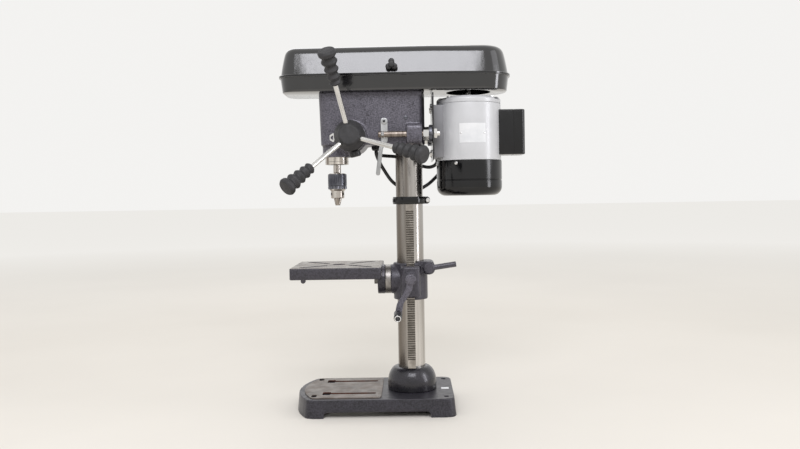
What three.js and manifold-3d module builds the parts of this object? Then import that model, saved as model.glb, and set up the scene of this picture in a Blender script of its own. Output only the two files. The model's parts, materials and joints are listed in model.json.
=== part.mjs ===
// Benchtop drill press in millimetres. While it is built, the column's axis is the Z axis, the bench
// is at zero, the spindle is in front (-Y), the motor behind (+Y) and the feed handles on the +X side.
// The finished group is moved so that the middle of its footprint is the origin.
import * as THREE from "three";
import { mergeVertices } from "three/addons/utils/BufferGeometryUtils.js";
import Module from "manifold-3d";

const wasm = await Module();
wasm.setup();

// Angles and counts
const fullTurn = Math.PI * 2;
const quarterTurn = Math.PI / 2;
const degree = Math.PI / 180;
const largeSteps = 30;
const mediumSteps = 18;
const smallSteps = 12;
const tinySteps = 8;
const hexSides = 6;
const cornerSteps = 2;
const nearlyRoundShare = 0.95;

// Clearances
const seatGap = 0.3;
const runGap = 0.25;
const overrun = 1;
const edgeBreak = 1;
const weldDistance = 0.0001;

// Column
const columnRadius = 23;
const columnWall = 3;

// Base casting
const baseHalfWidth = 81;
const baseFront = -194;
const baseRear = 69;
const baseHeight = 30;
const baseFrontRadius = 150;
const baseCornerRadius = 14;
const baseFlare = 3;
const baseWall = 8;
const baseTopThickness = 9;
const baseArchHeight = 9.5;
const baseArchInset = 49;
const baseArchFront = baseFront + baseArchInset;
const baseArchRearInset = 40;
const baseArchRear = baseRear - baseArchRearInset;
const basePadHeight = 2;
const basePadInset = 9;
const basePadBack = 28;
const basePadRear = -columnRadius - basePadBack;
const baseSlotSide = 36.5;
const baseSlotX = baseHalfWidth - baseSlotSide;
const baseSlotWidth = 9.5;
const baseSlotInset = 43.5;
const baseSlotFront = baseFront + baseSlotInset;
const baseSlotBack = 9.5;
const baseSlotRear = basePadRear - baseSlotBack;
const baseSlotMouthWidth = 20;
const baseSlotMouthLength = 13.5;
const baseFrontHoleSide = 21;
const baseFrontHoleX = baseHalfWidth - baseFrontHoleSide;
const baseFrontHoleInset = 31;
const baseFrontHoleY = baseFront + baseFrontHoleInset;
const baseRearHoleSide = 17;
const baseRearHoleX = baseHalfWidth - baseRearHoleSide;
const baseRearHoleInset = 13;
const baseRearHoleY = baseRear - baseRearHoleInset;
const baseHoleRadius = 4.5;
const baseHoleLength = 16;

// The column's flange, and the collar that holds the rack down
const columnHeadDepth = 68;
const flangeReach = 19;
const flangeRadius = columnRadius + flangeReach;
const flangeRimWall = 2.6;
const flangeRimRadius = columnRadius + flangeRimWall;
const flangeStraightHeight = 10;
const flangeHeight = 39;
const flangeFloor = 8;
const flangeFloorHole = 15;
const collarWall = 5.5;
const collarRadius = columnRadius + collarWall;
const collarBottom = 347;
const collarHeight = 12.5;
const collarLugLength = 7;
const collarLugReach = collarRadius + collarLugLength;
const collarLugHalfWidth = 7;
const collarSlit = 1.6;
const collarEarLength = 2;
const collarEarReach = collarRadius + collarEarLength;
const collarEarAngle = 24 * degree;

// Gear teeth, shared by the table's rack and wheel and by the quill's rack and pinion
const toothModule = 1.25;
const toothPitch = Math.PI * toothModule;
const toothPressureAngle = 20 * degree;
const toothAddendumShare = 0.8;
const toothDedendumShare = 1.1;
const toothBacklash = 0.5;

// Rack along the column
const rackWidth = 13;
const rackPitchHeight = 6.9;
const rackPitchDistance = columnRadius + rackPitchHeight;
const rackTeethBottom = 83;
const rackPlainEnd = 6;
const rackTeethTop = collarBottom - rackPlainEnd;

// Table lift: bracket, worm wheel and crank, with heights from the table's tilt axis
const tiltAxisZ = 219;
const bracketWall = 6;
const bracketRadius = columnRadius + bracketWall;
const bracketBottom = -34;
const bracketTop = 28;
const wheelTeeth = 14;
const wheelHalfWidth = 5;
const wheelPinRadius = 3;
const wormPitchRadius = 6.5;
const wormInset = 4.5;
const wormStart = bracketRadius + wormInset;
const wormLength = 13;
const wormEnd = wormStart + wormLength;
const threadRootShare = 0.3;
const threadTipShare = 0.1;
const crankAxisHeight = 6;
const crankShaftRadius = 5;
const gearCaseHalfWidth = 16;
const gearCaseWall = 7.5;
const gearCaseReach = wormEnd + gearCaseWall;
const gearCaseCorner = 7;
const crankHubRadius = 9;
const crankNeck = 28;
const crankArmStart = gearCaseReach + crankNeck;
const crankArmThickness = 6;
const crankArmWidth = 11;
const crankDrop = 55;
const crankForward = 21;
const crankGripRadius = 6.5;
const crankGripLength = 48;
const crankGripPinRadius = 3;
const crankGripHeadRadius = 5;
const crankNoseShare = 0.7;
const crankEyeShare = 1.25;

// Table lock at the back of the bracket
const lockStandoff = 8;
const lockAxisY = columnRadius + lockStandoff;
const lockAxisHeight = 20;
const lockEarHalfHeight = 11;
const lockEarLength = 10;
const lockEarReach = lockAxisY + lockEarLength;
const lockEarNear = 26;
const lockEarFar = -22;
const lockEarRoundShare = 0.7;
const lockSlit = 2;
const lockStudRadius = 4;
const lockHubRadius = 10.5;
const lockHubLength = 12;
const lockRodRadius = 4.7;
const lockRodReach = 46;
const lockRodAngle = 8 * degree;
const lockNutRadius = 7.5;
const lockNutLength = 6;

// Table and its tilt joint
const tiltRadius = 25;
const tiltFlangeReach = 4;
const tiltFlangeFront = -bracketRadius - tiltFlangeReach;
const tiltRingThickness = 10;
const tiltRingFront = tiltFlangeFront - tiltRingThickness;
const tiltBlockThickness = 13;
const tiltBlockFront = tiltRingFront - tiltBlockThickness;
const tiltBoltRadius = 6;
const tiltBoltHead = 9;
const tiltBoltHeadLength = 6;
const tiltBoltClearance = 2.5;
const tiltBoltEnd = -columnRadius - tiltBoltClearance;
const tableHalfWidth = 75;
const tableDepth = 150;
const tableSetback = 5;
const tableRear = tiltRingFront - tableSetback;
const tableTop = 26;
const tableSkirt = 19;
const tableThickness = 9;
const tableWall = 6;
const tableCorner = 4;
const tableSlotWidth = 9.6;
const tableSlotStart = 26;
const tableSlotEnd = 84;
const tableHoleRadius = 11;
const tableLugInset = 13;
const tableLugY = tableRear - tableDepth + tableLugInset;
const tableLugWidth = 8;
const tableLugDrop = 13;

// Head casting
const spindleY = -123;
const barrelRadius = 24;
const headHalfWidth = 38;
const headFront = spindleY - barrelRadius;
const headLean = 2.6;
const headFrontTop = headFront - headLean;
const headRear = 24;
const headBottom = 447;
const headHeight = 88;
const headTop = headBottom + headHeight;
const headCorner = 14;
const headWall = 7;
const headColumnWall = 4.8;
const headColumnBoss = columnRadius + headColumnWall;
const headPocketFront = -80;
const headPocketRear = -37;
const headFloor = 9;
const headPocketFloor = headBottom + headFloor;
const wiringHoleRadius = 6;
const wiringHoleInset = 30;
const wiringHoleY = headPocketFront + wiringHoleInset;
const wiringHoleDrop = 33;
const wiringHoleZ = headTop - wiringHoleDrop;

// Heights of the drive above the head
const pulleyRise = 8;
const pulleyStepHeight = 10.6;
const pulleySteps = 5;
const pulleyBottom = headTop + pulleyRise;
const pulleyTop = pulleyBottom + pulleySteps * pulleyStepHeight;

// Spindle, quill and chuck
const barrelDrop = 19;
const barrelBottom = headBottom - barrelDrop;
const barrelWall = 4;
const quillRadius = barrelRadius - barrelWall;
const quillReach = 12;
const quillBottom = barrelBottom - quillReach;
const quillHeadroom = 21;
const quillTop = headTop - quillHeadroom;
const quillWall = 8;
const quillBore = quillRadius - quillWall;
const bearingSeatWall = 4;
const bearingRadius = quillRadius - bearingSeatWall;
const bearingBore = 6;
const bearingHeight = 10;
const quillTravel = 50;
const rackSpareTeeth = 2;
const chuckDrop = 15;
const chuckTop = quillBottom - chuckDrop;
const spindleNeckRadius = 6.6;
const spindleNeckRise = 0.5;
const spindleNeckBottom = chuckTop + spindleNeckRise;
const neckChamferShare = 0.8;
const spindleSplineRadius = 7;
const spindleSplineReach = 8.3;
const spindleSplineHalfWidth = 1.6;
const spindleSplineCount = 6;
const spindleShoulderRise = 2;
const spindleShoulder = quillTop + spindleShoulderRise;
const taperLength = 13;
const taperBottom = chuckTop - taperLength;
const taperBottomRadius = 5;
const taperTopRadius = 5.4;
const chuckSleeveLength = 27;
const chuckShoulder = chuckTop - chuckSleeveLength;
const chuckNoseLength = 15.5;
const chuckBottom = chuckShoulder - chuckNoseLength;
const chuckBodyRadius = 14.4;
const chuckNoseStep = 2.9;
const chuckNoseRadius = chuckBodyRadius - chuckNoseStep;
const chuckSleeveWall = 1.6;
const chuckSleeveRadius = chuckBodyRadius + chuckSleeveWall;
const chuckSleeveToothHeight = 5;
const chuckSleeveToothDepth = 1;
const chuckSleeveTeeth = 16;
const chuckKeyHoleRadius = 2.6;
const chuckKeyHoleDepth = 4;
const chuckKeyHoleDrop = 8;
const chuckKeyHoleZ = chuckShoulder - chuckKeyHoleDrop;
const jawCount = 3;
const jawRadius = 3;
const jawProud = 12;
const jawTip = chuckBottom - jawProud;
const jawLength = 22;
const jawTipOffset = 1.2;
const jawAngle = 15 * degree;
const jawTravel = 16.5;

// Feed: pinion shaft, hub, handles, depth ring and return spring
const pinionTeeth = 15;
const pinionRadius = (toothModule * pinionTeeth) / 2;
const pinionY = spindleY + quillRadius - toothModule * toothDedendumShare + pinionRadius;
const pinionRise = 12.5;
const pinionZ = headBottom + pinionRise;
const pinionHalfWidth = 12;
const pinionShaftRadius = 7;
const pinionJournalMargin = 0.325;
const pinionJournalRadius = pinionRadius + toothModule * toothAddendumShare + pinionJournalMargin;
const pinionBossRadius = 26.5;
const pinionBossLength = 4;
const pinionBossReach = headHalfWidth + pinionBossLength;
const depthRingRadius = 24.5;
const depthRingGap = 0.4;
const depthRingStart = pinionBossReach + depthRingGap;
const depthRingWidth = 14.6;
const depthRingEnd = depthRingStart + depthRingWidth;
const hubBossRadius = 14;
const hubFlangeRadius = 21;
const hubFlangeThickness = 11;
const hubFlangeEnd = depthRingEnd + hubFlangeThickness;
const hubFrontRadius = 17.5;
const hubLength = 32;
const hubFront = hubFlangeEnd + hubLength;
const hubRounding = 3;
const spokeRadius = 4;
const spokeRootRise = 12;
const spokeRootX = hubFlangeEnd + spokeRootRise;
const spokeLean = 33.8 * degree;
const spokeStart = 12.5;
const gripStart = 84;
const spokeInGrip = 48;
const spokeEnd = gripStart + spokeInGrip;
const spokeSocketDepth = 12;
const spokeCount = 3;
const spokeFirstAngle = 12.4 * degree;
const gripLength = 68.8;
const gripEnd = gripStart + gripLength;
const gripRadius = 14.5;
const depthKnobRadius = 9;
const depthKnobHeight = 9;
const depthKnobInset = 9.8;
const depthKnobX = depthRingStart + depthKnobInset;
const depthKnobAngle = 193.8 * degree;
const depthKnobScrewRadius = 2.5;
const pointerThickness = 1.5;
const pointerReach = 36;
const pointerFront = pinionY - pointerReach;
const pointerWidth = 16;
const springCapRadius = 25;
const springCapDepth = 18;
const springCapEnd = -pinionBossReach - springCapDepth;
const springCapWall = 2.2;
const springStubRadius = 6;
const springStubInset = 3;
const springStubEnd = springCapEnd + springStubInset;
const springStripThickness = 0.8;
const springStripWidth = 9;
const springTurns = 4;

// Motor and its sliding carriage
const motorY = 103;
const motorRadius = 54.5;
const motorHeadroom = 21;
const motorTop = headTop - motorHeadroom;
const motorLength = 95;
const motorBottom = motorTop - motorLength;
const motorWall = 3;
const motorShieldThickness = 5;
const endBellHeight = 11;
const endBellWall = 3;
const endBellSlotCount = 10;
const endBellSlotWidth = 5;
const endBellSlotPlaceShare = 0.66;
const cowlLap = 1;
const cowlRadius = motorRadius + cowlLap;
const cowlDepth = 59;
const cowlBottom = motorBottom - cowlDepth;
const cowlWall = 2;
const cowlRounding = 15;
const cowlSlotCount = 8;
const cowlSlotWidth = 4;
const statorInner = 28;
const windingRoomBelow = 18;
const statorBottom = motorBottom + windingRoomBelow;
const windingRoomAbove = 15;
const statorTop = motorTop - windingRoomAbove;
const rotorGap = 0.6;
const motorShaftRadius = 5.5;
const motorShaftProud = 3;
const motorShaftTop = pulleyTop + motorShaftProud;
const motorShaftFloor = 19;
const motorShaftBottom = cowlBottom + motorShaftFloor;
const fanRadius = 44;
const fanHubRadius = 10;
const fanFloor = 24;
const fanBottom = cowlBottom + fanFloor;
const fanHeight = 22;
const fanBladeCount = 6;
const fanBladeThickness = 2;
const footHalfWidth = 32;
const footInset = 5;
const footBottom = motorBottom + footInset;
const footTopInset = 2;
const footTop = motorTop - footTopInset;
const capacitorReach = 93;
const capacitorRear = motorY + capacitorReach;
const capacitorHalfWidth = 25;
const capacitorInset = 9;
const capacitorBottom = motorBottom + capacitorInset;
const capacitorHeight = 75.5;
const capacitorTop = capacitorBottom + capacitorHeight;
const capacitorCorner = 7;
const motorPlateFront = 39.5;
const motorPlateThickness = 2.5;
const footFront = motorPlateFront + motorPlateThickness + seatGap;
const motorPlateHalfWidth = 62;
const motorPlateInset = 1;
const motorPlateBottom = motorBottom + motorPlateInset;
const motorPlateHeadroom = 5;
const motorPlateTop = headTop - motorPlateHeadroom;
const slideRodStandoff = 11;
const slideRodX = headHalfWidth + slideRodStandoff;
const slideRodRise = 16;
const slideRodZ = headBottom + slideRodRise;
const slideRodRadius = 5;
const slideRodFront = -50;
const slideRodRear = 52;
const rodSlotBelowShare = 0.6;
const rodSlotAboveShare = 0.8;
const slideBossFront = -3;
const slideBossRear = 22.5;
const slideBossWall = 9;
const slideBossReach = slideRodX + slideBossWall;
const slideBossHalfHeight = 17;
const slideBossCorner = 8;
const slideNutRadius = 11;
const slideWasherRadius = 14.4;
const slideNutGap = 1.9;
const slideNutFront = slideBossRear + slideNutGap;
const slideNutLength = 9.6;
const slideNutEnd = slideNutFront + slideNutLength;
const rearNutShare = 0.8;

// Belt tension lever
const leverPivotY = -40;
const leverPivotRise = 22;
const leverPivotZ = slideRodZ + leverPivotRise;
const leverStandoff = 2.4;
const leverInner = headHalfWidth + leverStandoff;
const leverThickness = 3;
const leverTopRise = 5.5;
const leverHalfWidth = 5.7;
const leverTopRoundShare = 0.8;
const leverLowHalfWidth = 3.5;
const leverLean = 12;
const leverLowY = leverPivotY - leverLean;
const leverLength = 89.5;
const leverLowZ = leverPivotZ - leverLength;
const leverScrewRadius = 3;
const leverScrewHeadRadius = 5.5;
const leverScrewHeadLength = 2.6;
const leverPinRadius = 2;
const leverPinSlack = 0.7;

// Belt housing, its lid and the drive inside
const coverFrontRoom = 92;
const spindlePulleyRadius = 48;
const coverPulleyRoom = 8;
const coverBulge = 6;
const coverFrontHalfWidth = spindlePulleyRadius + coverPulleyRoom;
const coverMiddleHalfWidth = coverFrontHalfWidth + coverBulge;
const coverFront = spindleY - coverFrontRoom;
const coverRearRoom = 70;
const coverRear = motorY + coverRearRoom;
const coverMiddleY = 40;
const coverRearHalfWidth = 55;
const coverFrontCorner = 30;
const coverMiddleCorner = 250;
const coverRearCorner = 50;
const coverCornerSteps = 3;
const panBottomInset = 5.5;
const panTopInset = 2.6;
const panWall = 2.4;
const panFloor = 2.5;
const lipHeight = 2;
const lipRise = 24;
const lipBottom = headTop + lipRise;
const lidHeadroom = 14;
const lidTop = pulleyTop + lidHeadroom;
const lidWall = 2.5;
const panSpindleHole = 18;
const panMotorHole = 37.5;
const hingeClearance = 3.6;
const hingeRadius = 3;
const hingePinRadius = 1.3;
const hingeBoreRadius = 1.6;
const hingeFront = -60;
const hingeRear = 60;
const hingeKnuckle = 18;
const hingeLeafOverlap = 5.4;
const lidKnobY = -26;
const lidKnobRise = 16;
const lidKnobZ = lipBottom + lidKnobRise;
const lidKnobShaftRadius = 2.8;
const lidKnobRadius = 9;
const lidKnobLength = 12;
const lidKnobWasherDepth = 3.75;
const lidKnobWasherThickness = 2;
const pulleyStepDepth = 5.2;
const pulleyBeltStep = 2;
const motorPulleyRadius = 22;
const grooveDepth = 7;
const grooveRim = 1.4;
const grooveFloor = 3.8;
const beltOuterInset = 0.6;
const beltInnerInset = 6.3;
const sleeveRadius = 11.6;
const sleeveDepth = 13;
const sleeveBottom = headTop - sleeveDepth;

// Switch box and leads
const switchBoxFront = -64;
const switchBoxLength = 56;
const switchBoxRear = switchBoxFront + switchBoxLength;
const switchBoxHeadroom = 5;
const switchBoxTop = headTop - switchBoxHeadroom;
const switchBoxRodClearance = 11;
const switchBoxBottom = slideRodZ + switchBoxRodClearance;
const switchBoxDepth = 30;
const switchBoxReach = -headHalfWidth - switchBoxDepth;
const switchBoxWall = 2.4;
const switchBoxCorner = 5;
const startButtonDrop = 14;
const startButtonZ = switchBoxTop - startButtonDrop;
const stopButtonRise = 16;
const stopButtonZ = switchBoxBottom + stopButtonRise;
const buttonY = (switchBoxFront + switchBoxRear) / 2;
const startButtonRadius = 7;
const stopButtonRadius = 9;
const buttonProud = 5;
const buttonFlange = 1.6;
const inletRadius = 5;
const inletBore = 3;
const inletLength = 6;
const inletX = (switchBoxReach - headHalfWidth) / 2;
const inletRise = 26;
const inletZ = switchBoxBottom + inletRise;
const glandX = -12;
const glandY = -56;
const glandRadius = 9;
const glandHeight = 7;
const glandStubRadius = 6;
const leadRadius = 3;
const leadSides = 8;
const leadStepLength = 12;
const upperLeadRoute = [
  [-15.8, -56, 439.3], [-15.8, -55.8, 435.8], [-17.5, -50, 432.2], [-23, -40, 431], [-29, -22, 429.5],
  [-30.5, 0, 423], [-30, 22, 413], [-28.5, 36, 410.5], [-26, 45, 413.5], [-25, 49, 418.5],
  [-25, 49.2, 423.6],
];
const lowerLeadRoute = [
  [-8.2, -56, 439.3], [-8.3, -55.8, 434], [-12, -51.5, 422], [-18, -43, 406], [-24, -28, 385],
  [-29.5, -8, 373], [-32, 14, 371.5], [-36, 32, 380], [-44, 47, 393], [-54, 60, 407],
  [-60.5, 74, 420], [-63, 86, 429], [-63.5, 96, 431.5], [-60.8, 102, 431.5], [-55.6, 103, 431.5],
];

// Colours and surfaces
const surfaces = {
  hammertone: { color: 0x4a4650, roughness: 0.45, metalness: 0.35 },
  darkCast: { color: 0x3c3a40, roughness: 0.55, metalness: 0.4 },
  groundIron: { color: 0x8a8580, roughness: 0.4, metalness: 0.85 },
  steel: { color: 0xc9c8c4, roughness: 0.25, metalness: 0.95 },
  darkSteel: { color: 0x5a5a5c, roughness: 0.4, metalness: 0.8 },
  zinc: { color: 0xb9b7a8, roughness: 0.35, metalness: 0.85 },
  blackGloss: { color: 0x111113, roughness: 0.15, metalness: 0 },
  blackPlastic: { color: 0x1a1a1b, roughness: 0.5, metalness: 0 },
  greyPaint: { color: 0xcfd1d2, roughness: 0.4, metalness: 0.1 },
  rubber: { color: 0x222224, roughness: 0.8, metalness: 0 },
  aluminium: { color: 0xb5b7b9, roughness: 0.4, metalness: 0.8 },
  copper: { color: 0x8a5a35, roughness: 0.5, metalness: 0.7 },
  green: { color: 0x1f8a45, roughness: 0.35, metalness: 0 },
  red: { color: 0xb3201c, roughness: 0.35, metalness: 0 },
};

// A closed geometry as a solid that can be cut and joined.
function asSolid(geometry) {
  const bare = geometry.clone();
  bare.deleteAttribute("normal");
  bare.deleteAttribute("uv");
  const merged = mergeVertices(bare, weldDistance);
  const corners = merged.index.array;
  const triangles = [];
  for (let i = 0; i < corners.length; i += 3) {
    const [a, b, c] = [corners[i], corners[i + 1], corners[i + 2]];
    if (a !== b && b !== c && c !== a) {
      triangles.push(a, b, c);
    }
  }
  const vertProperties = new Float32Array(merged.attributes.position.array);
  const triVerts = new Uint32Array(triangles);
  const solid = new wasm.Manifold(new wasm.Mesh({ numProp: 3, vertProperties, triVerts }));
  if (solid.volume() > 0) {
    return solid;
  }
  triVerts.reverse();
  return new wasm.Manifold(new wasm.Mesh({ numProp: 3, vertProperties, triVerts }));
}

// A solid as a named mesh with a surface of its own.
function part(name, solid, surface) {
  const { vertProperties, triVerts } = solid.getMesh();
  const geometry = new THREE.BufferGeometry();
  geometry.setAttribute("position", new THREE.BufferAttribute(new Float32Array(vertProperties), 3));
  geometry.setIndex(new THREE.BufferAttribute(new Uint32Array(triVerts), 1));
  geometry.computeVertexNormals();
  const mesh = new THREE.Mesh(geometry, new THREE.MeshStandardMaterial(surfaces[surface]));
  mesh.name = name;
  return mesh;
}

function join(solids) {
  return solids.reduce((whole, solid) => whole.add(solid));
}

function cut(solid, cutters) {
  return cutters.reduce((rest, cutter) => rest.subtract(cutter), solid);
}

// Outlines: corners are [across, up, fillet radius], and the fillets become arcs.
function outlinePoints(corners, steps = cornerSteps) {
  const points = [];
  corners.forEach(([u, v, radius = 0], i) => {
    const here = new THREE.Vector2(u, v);
    if (radius === 0) {
      points.push(here);
      return;
    }
    const [beforeU, beforeV] = corners[(i + corners.length - 1) % corners.length];
    const [afterU, afterV] = corners[(i + 1) % corners.length];
    const before = new THREE.Vector2(beforeU, beforeV).sub(here).normalize();
    const after = new THREE.Vector2(afterU, afterV).sub(here).normalize();
    const half = Math.acos(before.dot(after)) / 2;
    const start = here.clone().addScaledVector(before, radius / Math.tan(half));
    const end = here.clone().addScaledVector(after, radius / Math.tan(half));
    const inward = before.clone().add(after).normalize();
    const centre = here.clone().addScaledVector(inward, radius / Math.sin(half));
    const from = start.clone().sub(centre).angle();
    let sweep = end.clone().sub(centre).angle() - from;
    if (sweep > Math.PI) {
      sweep -= fullTurn;
    }
    if (sweep < -Math.PI) {
      sweep += fullTurn;
    }
    for (let k = 0; k <= steps; k += 1) {
      const angle = from + (sweep * k) / steps;
      points.push(new THREE.Vector2(Math.cos(angle), Math.sin(angle)).multiplyScalar(radius).add(centre));
    }
  });
  return points;
}

function outline(corners) {
  return new THREE.Shape(outlinePoints(corners));
}

function rectangle(left, right, low, high, radius = 0) {
  return outline([[left, low, radius], [right, low, radius], [right, high, radius], [left, high, radius]]);
}

function circle(u, v, radius, steps = mediumSteps) {
  const points = [];
  for (let k = 0; k < steps; k += 1) {
    const angle = (fullTurn * k) / steps;
    points.push(new THREE.Vector2(u + radius * Math.cos(angle), v + radius * Math.sin(angle)));
  }
  return new THREE.Shape(points);
}

function extruded(shape, depth) {
  return new THREE.ExtrudeGeometry(shape, { depth, bevelEnabled: false, curveSegments: 1 });
}

// An outline in (x, y), pushed along Z.
function alongZ(shape, from, to) {
  return asSolid(extruded(shape, to - from).translate(0, 0, from));
}

// An outline in (y, z), pushed along X.
function alongX(shape, from, to) {
  const axes = new THREE.Matrix4().makeBasis(
    new THREE.Vector3(0, 1, 0), new THREE.Vector3(0, 0, 1), new THREE.Vector3(1, 0, 0),
  );
  return asSolid(extruded(shape, to - from).applyMatrix4(axes).translate(from, 0, 0));
}

// An outline in (x, z), pushed along Y.
function alongY(shape, from, to) {
  const axes = new THREE.Matrix4().makeBasis(
    new THREE.Vector3(1, 0, 0), new THREE.Vector3(0, 0, 1), new THREE.Vector3(0, -1, 0),
  );
  return asSolid(extruded(shape, to - from).applyMatrix4(axes).translate(0, to, 0));
}

function turnedGeometry(profile, steps) {
  const points = profile.map(([radius, height]) => new THREE.Vector2(radius, height));
  return new THREE.LatheGeometry(points, steps).rotateX(quarterTurn);
}

// A profile of [radius, height], listed upwards on its outside, turned about the Z axis.
function turned(profile, steps = mediumSteps) {
  return asSolid(turnedGeometry(profile, steps));
}

// The same about the X axis, with [radius, x].
function turnedAboutX(profile, steps = mediumSteps) {
  return asSolid(turnedGeometry(profile, steps).rotateY(quarterTurn));
}

function ringProfile(inner, outer, from, to) {
  return [[inner, from], [outer, from], [outer, to], [inner, to], [inner, from]];
}

function ring(inner, outer, from, to, steps = mediumSteps) {
  return turned(ringProfile(inner, outer, from, to), steps);
}

function pin(radius, from, to, steps = smallSteps) {
  return turned([[0, from], [radius, from], [radius, to], [0, to]], steps);
}

// A round tube through hand-placed points.
function tube(points, radius, sides, stepLength) {
  const path = new THREE.CatmullRomCurve3(points.map(([x, y, z]) => new THREE.Vector3(x, y, z)));
  const steps = Math.round(path.getLength() / stepLength);
  const options = { steps, extrudePath: path, bevelEnabled: false, curveSegments: 1 };
  return asSolid(new THREE.ExtrudeGeometry(circle(0, 0, radius, sides), options));
}

// Outer faces from a stack of closed rings of points, with flat ends.
function loft(rings) {
  const count = rings[0].length;
  const positions = rings.flat().flatMap((point) => [point.x, point.y, point.z]);
  const triangles = [];
  for (let level = 0; level + 1 < rings.length; level += 1) {
    for (let i = 0; i < count; i += 1) {
      const a = level * count + i;
      const b = level * count + ((i + 1) % count);
      triangles.push(a, b, b + count, a, b + count, a + count);
    }
  }
  const flat = rings[0].map((point) => new THREE.Vector2(point.x, point.y));
  const last = (rings.length - 1) * count;
  for (const [a, b, c] of THREE.ShapeUtils.triangulateShape(flat, [])) {
    triangles.push(c, b, a, last + a, last + b, last + c);
  }
  const geometry = new THREE.BufferGeometry();
  geometry.setAttribute("position", new THREE.Float32BufferAttribute(positions, 3));
  geometry.setIndex(triangles);
  return asSolid(geometry);
}

// Placed in a group of its own, turned about X and then leaning about Y.
function grouped(meshes, position = [0, 0, 0], rotation = [0, 0, 0]) {
  const group = new THREE.Group();
  group.position.set(...position);
  group.rotation.set(...rotation);
  group.add(...meshes);
  return group;
}

// Gear teeth: half the tooth's angle at a radius, from the involute of its base circle.
function involute(angle) {
  return Math.tan(angle) - angle;
}

function gearOutline(teeth, centreU, centreV, flankPoints = 2) {
  const pitchRadius = (toothModule * teeth) / 2;
  const baseRadius = pitchRadius * Math.cos(toothPressureAngle);
  const tipRadius = pitchRadius + toothModule * toothAddendumShare;
  const rootRadius = pitchRadius - toothModule * toothDedendumShare;
  const halfAtPitch = (toothPitch - toothBacklash) / (4 * pitchRadius);
  const lowest = Math.max(baseRadius, rootRadius);
  const points = [];
  for (let tooth = 0; tooth < teeth; tooth += 1) {
    const middle = (fullTurn * tooth) / teeth;
    const flank = [];
    for (let k = 0; k < flankPoints; k += 1) {
      const radius = lowest + ((tipRadius - lowest) * k) / (flankPoints - 1);
      const pressure = Math.acos(Math.min(1, baseRadius / radius));
      flank.push([radius, halfAtPitch + involute(toothPressureAngle) - involute(pressure)]);
    }
    if (rootRadius < baseRadius) {
      flank.unshift([rootRadius, flank[0][1]]);
    }
    for (const [radius, half] of flank) {
      points.push([radius, middle - half]);
    }
    for (const [radius, half] of flank.reverse()) {
      points.push([radius, middle + half]);
    }
  }
  return new THREE.Shape(points.map(([radius, angle]) => new THREE.Vector2(
    centreU + radius * Math.cos(angle), centreV + radius * Math.sin(angle),
  )));
}

// Points of a row of rack teeth, going up, with the tooth tips towards +across.
function rackTeeth(pitchLine, firstMiddle, count, facing) {
  const slope = Math.tan(toothPressureAngle);
  const tip = toothModule * toothAddendumShare;
  const root = toothModule * toothDedendumShare;
  const halfAtPitch = (toothPitch - toothBacklash) / 4;
  const points = [];
  for (let tooth = 0; tooth < count; tooth += 1) {
    const middle = firstMiddle + tooth * toothPitch;
    points.push([pitchLine - facing * root, middle - halfAtPitch - slope * root]);
    points.push([pitchLine + facing * tip, middle - halfAtPitch + slope * tip]);
    points.push([pitchLine + facing * tip, middle + halfAtPitch - slope * tip]);
    points.push([pitchLine - facing * root, middle + halfAtPitch + slope * root]);
  }
  return points;
}

// Base
function baseCorners(inset, rear) {
  const halfWidth = baseHalfWidth - inset;
  const radius = baseFrontRadius - inset;
  const arcCentre = baseFront + inset + radius;
  const shoulder = arcCentre - Math.sqrt(radius ** 2 - halfWidth ** 2);
  const corner = baseCornerRadius - inset / 2;
  const corners = [[halfWidth, rear, corner], [-halfWidth, rear, corner], [-halfWidth, shoulder, corner]];
  const arcSteps = 10;
  for (let i = 1; i < arcSteps; i += 1) {
    const x = halfWidth * ((2 * i) / arcSteps - 1);
    corners.push([x, arcCentre - Math.sqrt(radius ** 2 - x ** 2), 0]);
  }
  corners.push([halfWidth, shoulder, corner]);
  return corners;
}

function flared(geometry, height, flare) {
  const position = geometry.attributes.position;
  const middle = (baseFront + baseRear) / 2;
  const halfLength = (baseRear - baseFront) / 2;
  for (let i = 0; i < position.count; i += 1) {
    const lowShare = 1 - position.getZ(i) / height;
    position.setX(i, position.getX(i) * (1 + (lowShare * flare) / baseHalfWidth));
    position.setY(i, middle + (position.getY(i) - middle) * (1 + (lowShare * flare) / halfLength));
  }
  return geometry;
}

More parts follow.
